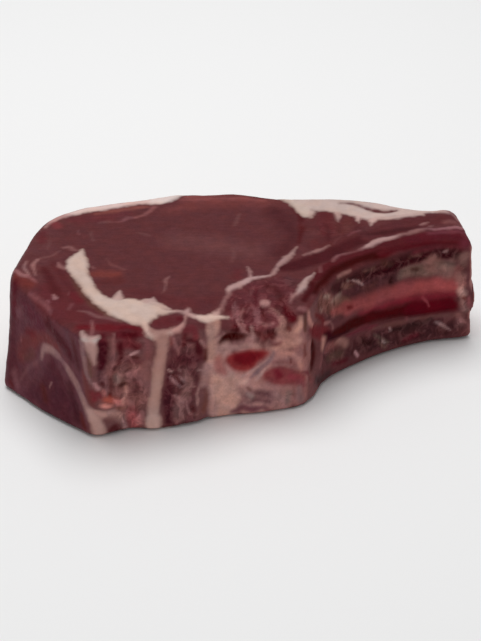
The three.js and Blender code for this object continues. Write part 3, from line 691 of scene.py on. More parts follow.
# Fat: the colour as it is seen, and the line.
FAT_ON_TOP = [
    # the crescent and its end
    ((196, 170, 159), [
        (-58.3, 7.6, 0.4), (-58.8, 4, 1.5), (-59.3, 0, 3), (-59.4, -4, 4.1), (-58.8, -8, 3.8)]),
    ((195, 169, 158), [
        (-58.8, -8, 3.8), (-57.2, -12, 3), (-55.3, -16, 2.6), (-53.4, -20.4, 2.5), (-50.9, -24.6, 2.6)]),
    ((198, 173, 162), [
        (-50.9, -24.6, 2.6), (-47.7, -28.4, 3.2), (-43.6, -30.7, 4.7), (-38.8, -32.8, 6.8), (-36, -34, 7)]),
    ((196, 169, 158), [
        (-36, -34, 7), (-33.6, -33.2, 4.5), (-30.8, -32.2, 3.2), (-27.6, -33.2, 1.6), (-24.4, -33.2, 0.8)]),
    ((182, 144, 138), [(-24.4, -33.2, 0.8), (-21.6, -33, 0.9), (-18.8, -34.4, 1.2), (-16.4, -35.4, 1.4)]),
    ((206, 176, 165), [
        (-16.4, -35.4, 1.4), (-13.4, -35.3, 2.1), (-10.2, -33.6, 1.6), (-7.6, -32.5, 1.2),
        (-5.2, -31.9, 0.4)]),
    ((190, 152, 146), [(-9.6, -31.8, 1.2), (-8.7, -30.6, 0.9), (-8.2, -29.2, 0.4)]),
    # its spikes
    ((184, 152, 145), [(-43.4, -26, 2.2), (-43.1, -23, 1.1), (-43.1, -20.8, 0.3)]),
    ((180, 148, 142), [(-33.4, -28.4, 2.6), (-31.6, -27, 1.5), (-31.2, -25, 0.4)]),
    ((190, 160, 151), [(-32, -28.6, 1.8), (-29, -30.2, 1.5), (-26, -31.8, 1)]),
    ((176, 138, 134), [(-19.8, -33.4, 1.3), (-19.2, -31.4, 0.5)]),
    # the rim of the island
    ((204, 172, 161), [
        (-34, -39, 2), (-33.2, -41.6, 1.2), (-31.4, -44.2, 1.4), (-28, -43.8, 1.1), (-25, -42.6, 1.1)]),
    ((182, 135, 128), [
        (-25, -42.6, 1.1), (-22.4, -41, 1.2), (-20.9, -39, 0.8), (-20, -36.4, 0.6), (-19.4, -34, 0.8)]),
    # the seam over the vertebra, and a spur
    ((142, 98, 96), [(-8.6, -30.6, 0.8), (-7.2, -27.6, 0.7), (-6.3, -24.4, 0.7), (-5.6, -21.6, 0.9)]),
    ((176, 140, 136), [(-5.6, -21.6, 0.9), (-4.6, -19.6, 1.5), (-2.6, -18.2, 1.6), (-0.4, -16, 1.6)]),
    ((182, 148, 146), [
        (-0.4, -16, 1.6), (1.2, -14, 1.5), (2.6, -12.6, 1.1), (6.4, -12, 0.9), (9, -11.2, 0.9)]),
    ((160, 124, 122), [(9, -11.2, 0.9), (10.6, -9, 0.9), (11.6, -6.2, 0.9), (13, -3, 1.3), (14.8, 0, 1.5)]),
    ((158, 124, 120), [(14.8, 0, 1.5), (16.6, 3, 1.2), (18.2, 6.2, 0.7), (19.6, 9, 0.3)]),
    ((170, 130, 126), [(2.2, -12, 0.9), (2, -8.6, 0.7), (1.4, -5.2, 0.4)]),
    # the seams along the tail and the rib
    ((146, 106, 104), [(21.6, 3, 0.3), (24, 4.5, 0.8), (26.6, 6, 1.2), (28.4, 7.4, 0.9), (31, 9.6, 0.2)]),
    ((128, 82, 84), [
        (31.8, -0.8, 0.2), (33, 1.4, 0.9), (35, 3.4, 0.6), (38, 4.6, 0.4), (41, 6, 0.5), (43.6, 7.6, 0.8)]),
    ((172, 135, 132), [
        (43.6, 7.6, 0.8), (46, 9.6, 1.4), (48.6, 11.6, 1.6), (51.4, 13.2, 1.4), (54, 14, 1.1),
        (57, 15.4, 0.8)]),
    ((134, 94, 93), [(57, 15.4, 0.8), (60, 16.4, 0.7), (62.4, 17.8, 1.1), (64.6, 19, 1.1), (67, 19.8, 0.7)]),
    ((146, 97, 102), [(67, 19.8, 0.7), (71, 19.4, 0.5), (75, 20, 0.8), (79, 20.9, 1.1), (81.4, 22, 0.9)]),
    # a dash, a dot and small pieces
    ((176, 145, 141), [
        (24.8, -8.6, 0.2), (23.4, -11, 0.8), (22, -13.4, 1.2), (21, -16, 1.2), (20, -18.6, 1.2),
        (18.6, -21, 0.9)]),
    ((164, 118, 114), [(18.6, -21, 0.9), (17, -22.8, 0.8), (16, -24.4, 0.4)]),
    ((172, 126, 123), [(6.7, -25, 1.3), (7.9, -24.8, 1.2)]),
    ((141, 101, 100), [(65.8, 22.6, 0.5), (67, 23.6, 0.8), (68.4, 24.6, 0.4)]),
    ((124, 84, 84), [(69, 21.4, 0.4), (70.2, 22, 0.3)]),
    # the fat at the back left
    ((186, 142, 138), [(-74, 24, 0.5), (-72.4, 27.4, 0.9), (-69.6, 30.8, 1.3), (-66, 33.6, 1.6)]),
    ((214, 186, 179), [
        (-67, 33.4, 1.5), (-63.6, 35.2, 1.8), (-58.4, 37.2, 2.1), (-52, 39.2, 2.2), (-46, 41, 2)]),
    ((212, 178, 170), [(-46, 41, 2), (-41, 42.8, 2), (-37, 43.4, 2.3), (-34, 43.8, 2.6)]),
    ((214, 194, 188), [
        (-34.6, 44, 3), (-31, 45.2, 3), (-27.6, 47, 2.6), (-24.4, 48.8, 1.8), (-21, 49.6, 0.9)]),
    # the fat at the back right, with its tooth
    ((190, 168, 158), [(14.4, 46, 1.2), (18.4, 43.6, 2), (21.4, 39.6, 3), (23.4, 36, 3), (23.2, 32.4, 1.7)]),
    ((187, 164, 157), [(20, 44, 2.4), (27, 41, 4.8), (34, 39.4, 5), (41, 37.6, 6), (48, 34.4, 6.6)]),
    ((189, 166, 158), [(23, 42, 4), (29, 40, 4.4), (36, 38.4, 4.6), (43, 36, 5)]),
    ((192, 168, 162), [(48, 34.4, 6.8), (54, 34.8, 6), (60, 34, 4.4), (66, 34, 2.8), (74, 34, 1.8)]),
    ((186, 158, 152), [(50, 29.2, 1.9), (55, 28.8, 1.7), (61, 30.2, 1.5), (66.6, 31.3, 1.3)]),
    ((186, 158, 150), [(25.4, 35, 2), (24.8, 31.8, 1)]),
    ((178, 146, 140), [(35.4, 34, 1.6), (35.3, 30, 1), (35.4, 27.4, 0.3)]),
    ((192, 160, 154), [(43, 31, 1.6), (42.8, 28, 0.9), (42.9, 25.8, 0.3)]),
    ((192, 160, 154), [(48.6, 28, 2), (47.9, 25.6, 1), (47.4, 23.4, 0.3)]),
    # the fat at the rib's end
    ((150, 112, 112), [(75.4, 33, 0.9), (78, 30.6, 0.9), (80.4, 27.4, 0.7), (81.4, 24.6, 0.3)]),
    ((184, 152, 147), [(71.4, 33.8, 1.2), (74.4, 32.6, 1.6), (76.8, 30.8, 0.8)]),
]

FAT_AT_THE_SIDE = [
    # the band down the front
    ((156, 114, 106), [(-31.6, 39.4, 1.4), (-27.8, 38.2, 2), (-24.4, 39.6, 0.9)]),
    ((142, 105, 98), [(-27.4, 38, 2.2), (-27.6, 34, 2.2), (-28.2, 29, 2.1), (-29.1, 24, 2)]),
    ((147, 113, 105), [(-29.1, 24, 2), (-30, 18, 2), (-30.7, 13, 2.1), (-31.2, 8, 2.3)]),
    ((158, 129, 122), [(-31.2, 8, 2.3), (-31.3, 3, 2.7), (-31.4, 0, 2.9)]),
    # the wedge at the corner
    ((186, 153, 147), [
        (-54, 42.8, 0.5), (-53, 41.4, 1.1), (-51.4, 40, 1.8), (-49.9, 39.8, 1.7), (-48.5, 40.6, 1)]),
    ((146, 112, 106), [(-51, 39, 2.2), (-50.6, 36.4, 1.8), (-50.2, 33.6, 1.3), (-50, 30.6, 0.6)]),
    # the foot of the arch
    ((150, 117, 110), [(-52.4, 11.4, 1.4), (-51.2, 7.8, 2), (-50.2, 3.6, 2.3), (-49.8, -0.4, 2.5)]),
    ((154, 116, 109), [(-50.6, 10.8, 1.2), (-48.4, 9.4, 1.3)]),
]

FAT = [(TOP, FAT_ON_TOP), (SIDE, FAT_AT_THE_SIDE)]

# Meat that shows inside the fat: the line.
MEAT_IN_FAT = [
    (TOP, [
        # the island
        ([(-28.8, -39.3, 2.7), (-26.4, -38.5, 3), (-24, -37.2, 2.9), (-22.4, -36.6, 2.1)],),
        # a strip at the back right
        ([
            (37, 40.8, 0.1), (42, 39.6, 0.4), (46, 37, 0.7), (50, 34.6, 1), (54, 33.7, 1),
            (57.6, 34.4, 0.5)],),
        # a lobe by the end of the crescent
        ([(-18.3, -39, 1.5), (-16.9, -39.2, 1.7)],),
        # the small muscle at the back
        ([
            (-56.4, 34, 0.6), (-54, 34.5, 1), (-50.8, 35.4, 1.4), (-46, 36.7, 1.4), (-40, 38.9, 1.2),
            (-36.4, 39.4, 0.5)],),
        # the lobes of the muscle at the right
        ([(30.2, 31.6, 3.6), (30.4, 27, 3.8)],),
        ([(39.2, 29, 2.2), (39, 26, 2.4)],),
        ([(45.3, 26.6, 1.2), (45.2, 24.6, 1.4)],),
    ]),
    (SIDE, [
        # at the foot of the front
        ([(-46, 1.4, 1.3), (-44.9, 3.2, 1.7), (-43.8, 1.4, 1.4)],),
    ]),
]

# Small marks: the colour as it is seen, the opacity, the softness and the line.
MARKS_ON_TOP = [
    # lines, haze and spots on the cap
    ((114, 72, 72), 0.9, 1.4, [(-66.3, 5, 0.2), (-68.6, 1.4, 0.4), (-71.4, -1, 0.5), (-73.4, -3, 0.6)]),
    ((143, 99, 98), 0.95, 1.2, [(-73.4, -3, 0.6), (-74.4, -6.4, 0.7), (-73.8, -10, 0.5), (-73, -13.6, 0.4)]),
    ((142, 101, 100), 0.9, 1.3, [(-77, -5, 0.4), (-77.1, -8.6, 0.6), (-76, -12, 0.6), (-75, -14, 0.4)]),
    ((149, 99, 99), 0.95, 1.2, [
        (-82, -8.6, 0.4), (-80.2, -10.8, 0.7), (-78, -13.4, 0.8), (-75.4, -14.4, 0.9)]),
    ((130, 78, 80), 0.9, 1.4, [(-75.4, -14.4, 0.8), (-73.4, -16.6, 0.7), (-72.2, -18.2, 0.3)]),
    ((120, 72, 76), 0.85, 2, [
        (-74, -23, 0.6), (-71, -26, 0.9), (-68.4, -29, 1.1), (-66.6, -32.4, 1), (-66, -34.4, 0.3)]),
    ((142, 98, 98), 0.95, 1.2, [(-65.6, -24.2, 0.4), (-64.7, -26.2, 1)]),
    ((126, 76, 80), 0.9, 1.2, [(-67.2, -27.4, 0.5), (-66.6, -28.6, 0.4)]),
    ((116, 72, 74), 0.8, 1.2, [(-60.9, -21.8, 0.3), (-60.6, -23.6, 0.4)]),
    ((112, 65, 68), 0.8, 1.6, [(-58.6, -29.4, 0.5), (-59.4, -32.4, 0.6)]),
    ((104, 66, 67), 0.7, 1.4, [(-70.9, 13, 0.2), (-70.6, 9, 0.4), (-70.8, 5.4, 0.2)]),
    ((121, 76, 79), 0.8, 1.2, [(-61.2, 22, 0.3), (-60.8, 18.8, 0.4)]),
    ((104, 66, 66), 0.7, 1.6, [(-56.4, 21, 0.4), (-55.4, 14, 0.5)]),
    ((114, 72, 72), 0.7, 1.8, [(-54, 27.6, 0.5), (-51, 28.5, 0.9), (-49.6, 28.6, 0.4)]),
    # wisps by the crescent
    ((124, 82, 82), 0.9, 1.6, [(-65.6, 7.6, 0.5), (-63.6, 8.6, 1), (-61.8, 7, 0.9), (-60.4, 6.8, 0.7)]),
    ((142, 96, 94), 0.85, 1.8, [(-66.2, -3.8, 0.4), (-65, -6.4, 1), (-63.4, -7.4, 0.8)]),
    # streaks low on the cap
    ((122, 80, 80), 0.9, 1.8, [
        (-56, -33.4, 0.3), (-53, -34.6, 0.8), (-49.6, -36.8, 0.9), (-46.4, -38, 0.9), (-43.6, -39.4, 0.6)]),
    ((128, 80, 80), 0.9, 1.4, [
        (-51.2, -39.6, 0.3), (-50.8, -43, 0.6), (-50.4, -46, 0.7), (-50.3, -48.8, 0.5)]),
    # lines and spots on the round muscle
    ((126, 84, 83), 0.9, 1.2, [
        (-26.4, -11.4, 0.3), (-27.6, -13.8, 0.7), (-27, -16.6, 0.4), (-27.6, -20.6, 0.3),
        (-27.9, -22.4, 0.1)]),
    ((117, 70, 70), 0.8, 1.4, [(-50, 1, 0.2), (-47.6, -2.4, 0.4), (-45, -5, 0.6), (-42.4, -6.6, 0.4)]),
    ((134, 88, 88), 0.8, 1.4, [(-53.8, -5.2, 0.5), (-53.2, -5.8, 0.5)]),
    ((108, 68, 69), 0.7, 1.8, [(-39, 20, 0.4), (-36.6, 18.4, 0.7), (-34.4, 17.4, 0.4)]),
    ((112, 74, 74), 0.5, 1.8, [(-1.6, 34, 0.4), (-2.4, 30, 0.7), (-3.2, 25, 0.5)]),
    ((110, 70, 70), 0.7, 2, [(-4, 7.6, 0.3), (-3.8, 3.6, 0.6), (-4.2, -1.6, 0.3)]),
    # the seam at the back left
    ((122, 74, 77), 0.8, 1.6, [(-50, 28.4, 0.2), (-46, 28.4, 0.5), (-43.4, 30.6, 1), (-40.6, 31.4, 0.6)]),
    ((128, 78, 78), 0.85, 1.6, [(-40.6, 31.4, 0.6), (-38, 33.4, 0.8), (-35.6, 36, 0.9), (-33.8, 39.6, 0.9)]),
    # the core of the island, and a wisp on it
    ((86, 24, 31), 0.9, 2, [(-22.4, -36.4, 0.9), (-21.6, -36.2, 0.9)]),
    ((96, 46, 46), 0.7, 0.9, [(-26, -39.8, 0.1), (-24, -39, 0.3), (-22.4, -38.6, 0.2)]),
    # wisps on the tail
    ((114, 64, 69), 0.8, 1.6, [(38.4, 16.6, 0.4), (40.4, 18.4, 0.7), (42.8, 20.2, 0.4)]),
    ((102, 56, 58), 0.7, 1.6, [(32.6, 10.8, 0.3), (34.4, 14, 0.4), (36.2, 16.4, 0.3)]),
    ((120, 76, 78), 0.8, 1.4, [(27.2, -4.6, 0.5), (27.2, -7.6, 0.7)]),
    # torn strands
    ((140, 97, 93), 0.9, 0.9, [
        (9.2, -26.2, 0.3), (11.4, -27.4, 0.4), (12.8, -29.4, 0.4), (13.6, -31.2, 0.8)]),
    ((121, 77, 79), 0.8, 1, [(-2.8, -25.6, 0.3), (-3.4, -28, 0.5), (-3.2, -31, 0.5)]),
    ((131, 87, 90), 0.85, 1, [(-1.4, -30, 0.3), (-1.6, -32.6, 0.5), (-0.2, -35, 0.5)]),
    ((120, 76, 78), 0.8, 1, [(-5.2, -32.6, 0.3), (-3.6, -31.6, 0.4)]),
    ((130, 80, 84), 0.8, 1, [(1, -28.6, 0.3), (2.4, -26.8, 0.3), (4.2, -27.8, 0.3), (4.2, -31, 0.3)]),
    ((140, 92, 92), 0.8, 1.2, [(5.6, -31, 0.5), (8, -31.6, 0.7), (10.2, -31.2, 0.5)]),
    ((124, 74, 76), 0.7, 1.2, [(2.6, -22, 0.3), (3, -18.4, 0.3)]),
    ((130, 84, 84), 0.7, 1.2, [(16.3, -20.8, 0.2), (16.8, -22.6, 0.4)]),
    ((138, 92, 92), 0.85, 1, [(0.4, -33.6, 0.5), (-0.8, -30.4, 0.4), (-0.2, -27.4, 0.3)]),
    ((146, 96, 94), 0.85, 1, [(8.8, -27.6, 0.3), (10.6, -28.2, 0.4), (12.4, -30.4, 0.5)]),
    ((132, 84, 88), 0.8, 1, [(5, -26.8, 0.3), (5.6, -29.6, 0.4), (5, -32.6, 0.4)]),
]

MARKS_AT_THE_SIDE = [
    # the arch and its leg
    ((125, 92, 89), 0.9, 2.2, [
        (-70.6, 20.6, 0.6), (-70, 23.4, 1.1), (-68.4, 25.8, 1.4), (-66, 27, 1.6), (-63.8, 26.5, 1.4)]),
    ((106, 73, 75), 0.9, 2.2, [(-63.8, 26.4, 1.2), (-61.8, 25, 1.2), (-60.2, 23.6, 1.4)]),
    ((117, 86, 85), 0.9, 2.2, [
        (-60.2, 23.6, 1.4), (-58.3, 21.4, 1.9), (-56.6, 18.6, 1.7), (-55.2, 15.6, 1.5)]),
    ((123, 92, 89), 0.95, 2.2, [(-55.2, 15.6, 1.5), (-54.1, 13, 1.6), (-52.8, 10.4, 1.8), (-52, 8.6, 1.8)]),
    ((92, 56, 60), 0.9, 1.8, [
        (-70.8, 20.8, 0.4), (-72.6, 17.4, 0.9), (-75.6, 14, 1), (-77.6, 10.6, 0.7), (-79.4, 7.4, 0.6)]),
    # flecks and streaks of the left end
    ((122, 87, 87), 0.9, 0.8, [(-67.9, 11.2, 0.2), (-66.8, 13.2, 0.3)]),
    ((112, 66, 69), 0.8, 1.2, [(-78.2, 24.6, 0.2), (-78.5, 22, 0.4)]),
    # the corner
    ((112, 84, 84), 0.9, 1.4, [
        (-53.9, 40, 0.5), (-53.8, 35, 0.8), (-53.5, 30, 0.8), (-52.8, 26, 0.7), (-51.4, 22.6, 0.4)]),
    ((82, 58, 51), 0.85, 1.2, [(-52.2, 36.6, 0.4), (-51.7, 30, 0.5), (-51.3, 25.6, 0.4)]),
    # lines, flecks and streaks of the front
    ((114, 73, 73), 0.9, 1.2, [(-43.5, 40.6, 0.5), (-43.6, 34, 0.6), (-44.4, 29, 0.5), (-45.2, 25, 0.4)]),
    ((158, 116, 115), 0.95, 0.9, [(-38, 31.9, 0.5), (-36.8, 32.6, 0.6), (-35.6, 33.2, 0.4)]),
    ((114, 77, 79), 0.85, 1, [(-46.5, 25, 0.4), (-46.6, 21, 0.35), (-46.8, 18, 0.5)]),
    ((141, 101, 103), 0.95, 1.3, [(-50.2, 22.6, 0.6), (-49.3, 20.6, 0.8)]),
    ((88, 30, 36), 0.9, 1.4, [(-49.8, 18.4, 0.9), (-48.8, 17, 0.6)]),
    # blood
    ((88, 20, 17), 0.9, 1.2, [(-45.4, 17, 0.4), (-45.2, 16, 0.6)]),
    ((136, 66, 58), 0.95, 2, [(-47.4, 15.9, 0.7), (-46, 15.3, 0.9), (-44.6, 14.8, 0.9), (-43.6, 14.5, 0.6)]),
    ((146, 72, 62), 0.9, 1.4, [(-46.6, 15.4, 0.5), (-45, 14.8, 0.6)]),
    ((106, 44, 48), 0.35, 3, [(-49.4, 18, 0.8), (-48.2, 16.8, 0.9)]),
    ((146, 88, 86), 0.9, 1.8, [(-47.8, 19, 0.5), (-47.4, 17.8, 0.6)]),
    ((158, 96, 94), 0.95, 1.8, [(-44, 14.4, 0.8), (-42.8, 13.4, 1.1), (-42, 12.8, 0.9)]),
    ((184, 118, 110), 0.95, 1.6, [(-48.8, 13.8, 0.4), (-47.4, 13.3, 0.7), (-46, 13, 0.6), (-45, 13, 0.3)]),
    ((158, 110, 104), 0.95, 1.6, [(-40.6, 18, 0.7), (-40.8, 15.6, 0.8), (-41.4, 12.8, 0.8)]),
    # lines, shades, flecks and strands of the purple part
    ((126, 82, 82), 0.9, 1.4, [(-24.2, 38, 0.6), (-23.2, 34, 0.7), (-22.4, 30.6, 0.5)]),
    ((110, 55, 54), 0.9, 1, [(-24.9, 37, 0.4), (-24.6, 34.4, 0.4)]),
    ((138, 104, 102), 0.9, 1, [(-25.6, 24, 0.4), (-24.7, 23.4, 0.5)]),
    ((116, 82, 82), 0.9, 1, [(-22.3, 23.8, 0.5), (-21.6, 23, 0.4)]),
    ((98, 61, 64), 0.9, 1.2, [(-19.4, 30.6, 0.4), (-18.2, 33, 0.5)]),
    ((124, 87, 86), 0.95, 1.2, [(-14.9, 34, 0.5), (-13.8, 32.2, 0.6), (-13, 30.8, 0.4)]),
    ((118, 84, 87), 0.9, 1, [(-25.2, 21.4, 0.3), (-23.8, 19, 0.6), (-22, 16.6, 0.5)]),
    ((60, 26, 28), 0.85, 1, [(-24.2, 22, 0.4), (-22.6, 19.4, 0.5), (-21, 17.2, 0.4)]),
    ((126, 93, 94), 0.85, 1, [(-22.4, 21, 0.3), (-20.6, 18.4, 0.4)]),
    ((110, 77, 74), 0.85, 0.8, [(-19.6, 15.6, 0.3), (-16.4, 15.2, 0.3)]),
    ((132, 98, 95), 0.9, 0.8, [(-15.8, 21.3, 0.3), (-12.8, 20.5, 0.4)]),
    ((127, 90, 90), 0.85, 1.2, [(-24, 13.4, 0.5), (-22, 11, 0.8), (-21, 9.6, 0.6)]),
    ((146, 103, 102), 0.85, 1, [(-19.6, 9.4, 0.3), (-19, 5, 0.4), (-16.6, 4, 0.4)]),
    ((138, 101, 97), 0.9, 1, [(-16.3, 8, 0.5), (-15.9, 11, 0.4), (-15.3, 14, 0.3)]),
    # the edge of the cartilage, the marrow and spots on the bone
    ((147, 113, 109), 0.85, 1, [(8.4, 23, 0.3), (5, 20, 0.4), (1.6, 17.8, 0.5), (-0.6, 16.6, 0.4)]),
    ((148, 114, 110), 0.9, 1.2, [(8.2, 19.4, 0.3), (6.2, 16.8, 0.6), (4.6, 14.4, 0.6)]),
    ((92, 42, 46), 0.6, 2, [(12, 18.9, 0.3), (16, 16.9, 0.5), (20, 15, 0.5)]),
    ((82, 41, 39), 0.9, 1, [(16.2, 21, 0.4), (16.4, 20, 0.5)]),
    # specks and strands in the hole
    ((112, 76, 76), 0.9, 1, [(-6.9, 34.9, 0.5), (-6.4, 34.1, 0.5)]),
    ((131, 91, 91), 0.9, 0.9, [(-2.4, 36.6, 0.4), (0.2, 34.3, 0.4), (2.8, 32.4, 0.5)]),
    ((146, 108, 106), 0.9, 1.4, [(2.9, 34.4, 0.6), (3.4, 32.4, 0.7), (3, 30.8, 0.4)]),
    # lines low on the bone, and folds by the slit
    ((128, 96, 95), 0.7, 0.9, [(-1, 5, 0.3), (1, 5.5, 0.3)]),
    ((146, 104, 97), 0.9, 3, [(28.2, 19.6, 1.4), (28, 17, 1.6)]),
    ((104, 62, 62), 0.9, 3, [(27.6, 13.6, 1.2), (27.2, 11, 1.2)]),
    # flecks of the rib, a curl, pink bits and a pit; the pale strip along the top edge is a painted
    # highlight
    ((124, 80, 78), 0.9, 1.2, [(29, 25.8, 0.6), (31.4, 24.9, 0.5), (31.7, 23, 0.3)]),
    ((128, 100, 99), 0.95, 0.9, [(38.2, 36.9, 0.2), (40.4, 34.9, 0.5), (42.8, 32.3, 0.4)]),
    ((88, 70, 66), 0.8, 1.2, [(36.8, 38, 0.4), (37.2, 37, 0.4)]),
    # painted highlight along the top edge
    ((131, 91, 87), 0.9, 1.4, [(33.2, 40.3, 0.5), (35.6, 40.6, 0.7), (37.6, 40.8, 0.4)]),
    ((36, 6, 7), 1, 1.4, [(53.9, 31.8, 0.3), (53.9, 30.2, 0.6)]),
    # glints and pink spots on the side of the rib
    ((114, 84, 84), 0.9, 1.2, [(73.4, 38.4, 0.5), (74.4, 38.9, 0.6)]),
    ((134, 104, 104), 0.9, 1.2, [(72.2, 8.2, 0.5), (74.4, 7.4, 0.7), (76.4, 6.4, 0.4), (78, 5, 0.2)]),
    ((138, 106, 106), 0.9, 1, [(54.3, 10.6, 0.4), (54.7, 9.6, 0.5)]),
    ((150, 110, 114), 0.9, 1.2, [(41, 6.2, 0.5), (42, 4.2, 0.6)]),
    ((142, 116, 113), 0.9, 1.2, [(51.2, 6.2, 0.4), (52.4, 5.2, 0.5)]),
    ((114, 62, 66), 0.8, 1.4, [(60.2, 13.2, 0.5), (60.8, 12, 0.5)]),
    ((118, 52, 58), 0.8, 1.2, [(66, 21.6, 0.5), (67.6, 19.8, 0.5), (69, 17, 0.3)]),
]

MARKS = [(TOP, MARKS_ON_TOP), (SIDE, MARKS_AT_THE_SIDE)]

# Where the meat is torn and coarse: the strength, the softness and the line.
TORN = [
    (TOP, [
        (0.55, 4, [(-1, -26, 4.6), (8, -27, 6), (12, -26, 6), (8, -33, 7), (-1, -32, 4)]),
        (0.4, 4, [(6, -19, 6), (14, -16, 4)]),
        (0.2, 6, [(26, 22, 4), (34, 22, 6), (44, 21, 4)]),
    ]),
    (SIDE, [
        (0.5, 3, [(-47, 38, 2), (-47, 30, 2.4)]),
        (0.6, 3, [(-42, 39, 2), (-38, 38, 2.4), (-35, 36, 2)]),
        (0.9, 3, [(-41, 30, 4), (-40, 24, 5.6), (-39, 14, 6), (-38, 4, 5.5)]),
        (0.6, 3, [(-47, 26, 2), (-46, 20, 2.4)]),
        (0.9, 3, [(-21, 33, 3), (-20, 26, 5), (-21.5, 15, 5.6), (-22, 3, 5.5)]),
        (0.5, 4, [(-2, 32, 3), (5, 33, 3), (14, 34, 4)]),
        (0.5, 3, [(1, 7, 3), (8, 6, 4), (16, 5, 4)]),
        (0.25, 4, [(-8, 26, 4), (-7, 10, 6), (10, 24, 6), (16, 22, 5), (18, 10, 5)]),
        (0.8, 4, [(28, 36, 4), (31, 30, 4)]),
        (0.6, 4, [(30, 12, 4), (34, 8, 4)]),
        (0.9, 3, [(36, 36, 3), (46, 35, 3.6), (56, 36, 3), (66, 37.4, 2.4), (77, 37.4, 2.4)]),
        (0.4, 3, [(38, 31, 2), (50, 31.4, 2), (60, 31.4, 2), (74, 31.2, 2.4)]),
        (0.8, 3, [(42, 8, 4), (56, 6.4, 4.4), (70, 6, 4.4), (82, 6, 4)]),
        (0.15, 6, [(-80, 34, 6), (-66, 34, 6), (-62, 8, 8), (-78, 12, 6)]),
        (0.8, 3, [(80.4, 31, 1.6), (81.8, 21, 1.8), (83, 12, 1.6)]),
    ]),
    (END, [
        (0.5, 6, [(24, 38, 4), (25, 22, 6), (24, 6, 4)]),
    ]),
]

# Pits and swellings: the height, the softness and the line.
RELIEF = [
    (SIDE, [
        (-0.8, 2.4, [(-6.4, 32.6, 0.3), (-4.4, 33.4, 0.6), (-1.6, 33.8, 0.5)]),
        (-0.5, 2, [(6.6, 32.2, 0.6), (9.4, 32.2, 0.6)]),
        (-1.1, 3.4, [(25.6, 28, 0.6), (25.2, 21.8, 1), (25.1, 16, 1), (24.8, 11, 0.5)]),
        (0.5, 3.4, [(27.6, 19, 0.6), (27.4, 14, 1), (27.2, 9.4, 0.6)]),
        (-0.8, 3, [(-25.6, 30, 0.4), (-26.4, 15, 0.8), (-26.7, 2, 0.8)]),
        (-0.8, 3, [(-46.8, 38, 0.8), (-47, 33, 1.2), (-47.6, 28, 0.8)]),
        (-1.4, 2, [(-41.6, 19.6, 0.3), (-40.8, 19.3, 0.4)]),
        (0.7, 2, [(-49, 13.6, 0.5), (-46.6, 12.8, 0.6), (-42.4, 13.2, 0.6), (-41, 16.6, 0.3)]),
        (0.5, 3, [(34, 27.6, 1), (50, 26.2, 1.6), (65, 25.2, 2), (78, 24.6, 2)]),
        (-0.6, 3, [(40, 20.4, 1.4), (54, 18, 1.8), (66, 16.6, 2), (78, 15.6, 2)]),
        (-0.9, 2.4, [(53.9, 31.6, 0.2), (53.9, 30.4, 0.4)]),
        (0.5, 2.4, [(57.4, 31.4, 1), (66, 31.4, 1.4), (75, 31.2, 1.4)]),
    ]),
    (TOP, [
        (0.8, 4, [(-17, -38.6, 1.6), (-16.8, -41.5, 2)]),
        (0.7, 6, [(2, -22, 5), (8, -20, 5), (13, -19, 3)]),
    ]),
]


# ---------- laying the strokes ----------
UNDER_SHIFT = (1.2, -0.8)  # the cut runs a little differently on the resting face
LIFT = 30.0
FAT_REACH = 6.0
FAT_MIXING = 2.5  # how fast a fat stroke's part in the colour falls with the distance, for each mm
TINY = 1e-9


def strokes(table):
    """Each stroke of a table, as (face, what it is painted with, line)."""
    return [(face, paint, line) for face, rows in table for *paint, line in rows]


def on_both_faces(table):
    """The strokes, after those of the upper face laid on the resting face, the other side of the slice."""
    dx, dy = UNDER_SHIFT
    above = strokes(table)
    below = []
    for face, paint, line in above:
        if face == TOP:
            below.append((UNDER, paint, [(x + dx, y + dy, width) for x, y, width in line]))
    return below + above


def facing_down(normals):
    """1 where the surface faces down, 0 where it faces sideways or up."""
    return smooth_step(0.5, 0.9, -normals[:, 2])


def in_reach(face, points, normals):
    """The points, with all that don't face down lifted out of reach of a stroke on the resting face."""
    if face != UNDER:
        return points
    lift = LIFT * (1 - facing_down(normals))
    return points + lift[:, None] * np.array([0, 0, 1])


def painted(canvas, points, normals):
    """The colour of each point once the areas and then the marks are painted on it."""
    colour = base_colour(points, normals)
    areas = [(face, (paint, 1.0, soft), line) for face, (paint, soft), line in on_both_faces(AREAS)]
    for face, (paint, opacity, soft), line in areas + on_both_faces(MARKS):
        outside = stroke_distance(canvas, in_reach(face, points, normals), face, line, soft)
        share = opacity * cover(outside, soft)
        colour += share[:, None] * (seen(paint) - colour)
    return colour


def fat_fields(canvas, points, normals):
    """How far each point lies outside the nearest fat, and the colour of that fat."""
    nearest = np.full(len(points), FAT_REACH)
    total, weight = np.zeros((len(points), 3)), np.full(len(points), TINY)
    for face, (paint,), line in on_both_faces(FAT):
        outside = stroke_distance(canvas, in_reach(face, points, normals), face, line, FAT_REACH)
        share = np.exp(-FAT_MIXING * outside)
        total += share[:, None] * seen(paint)
        weight += share
        nearest = np.minimum(nearest, outside)
    for face, _, line in on_both_faces(MEAT_IN_FAT):
        reached = in_reach(face, points, normals)
        nearest = np.maximum(nearest, -stroke_distance(canvas, reached, face, line, FAT_REACH))
    return nearest, total / weight[:, None]


def coarseness(canvas, points):
    """How torn the surface is at each point, from 0 to 1."""
    total = np.zeros(len(points))
    for face, (strength, soft), line in strokes(TORN):
        outside = stroke_distance(canvas, points, face, line, soft)
        total = np.maximum(total, strength * cover(outside, soft))
    return total


def relief_height(canvas, points):
    """How far each point rises, or sinks if negative, in mm."""
    total = np.zeros(len(points))
    for face, (height, soft), line in strokes(RELIEF):
        outside = stroke_distance(canvas, points, face, line, soft)
        total += height * (1 - smooth_step(-0.2 * soft, soft, outside))
    return total


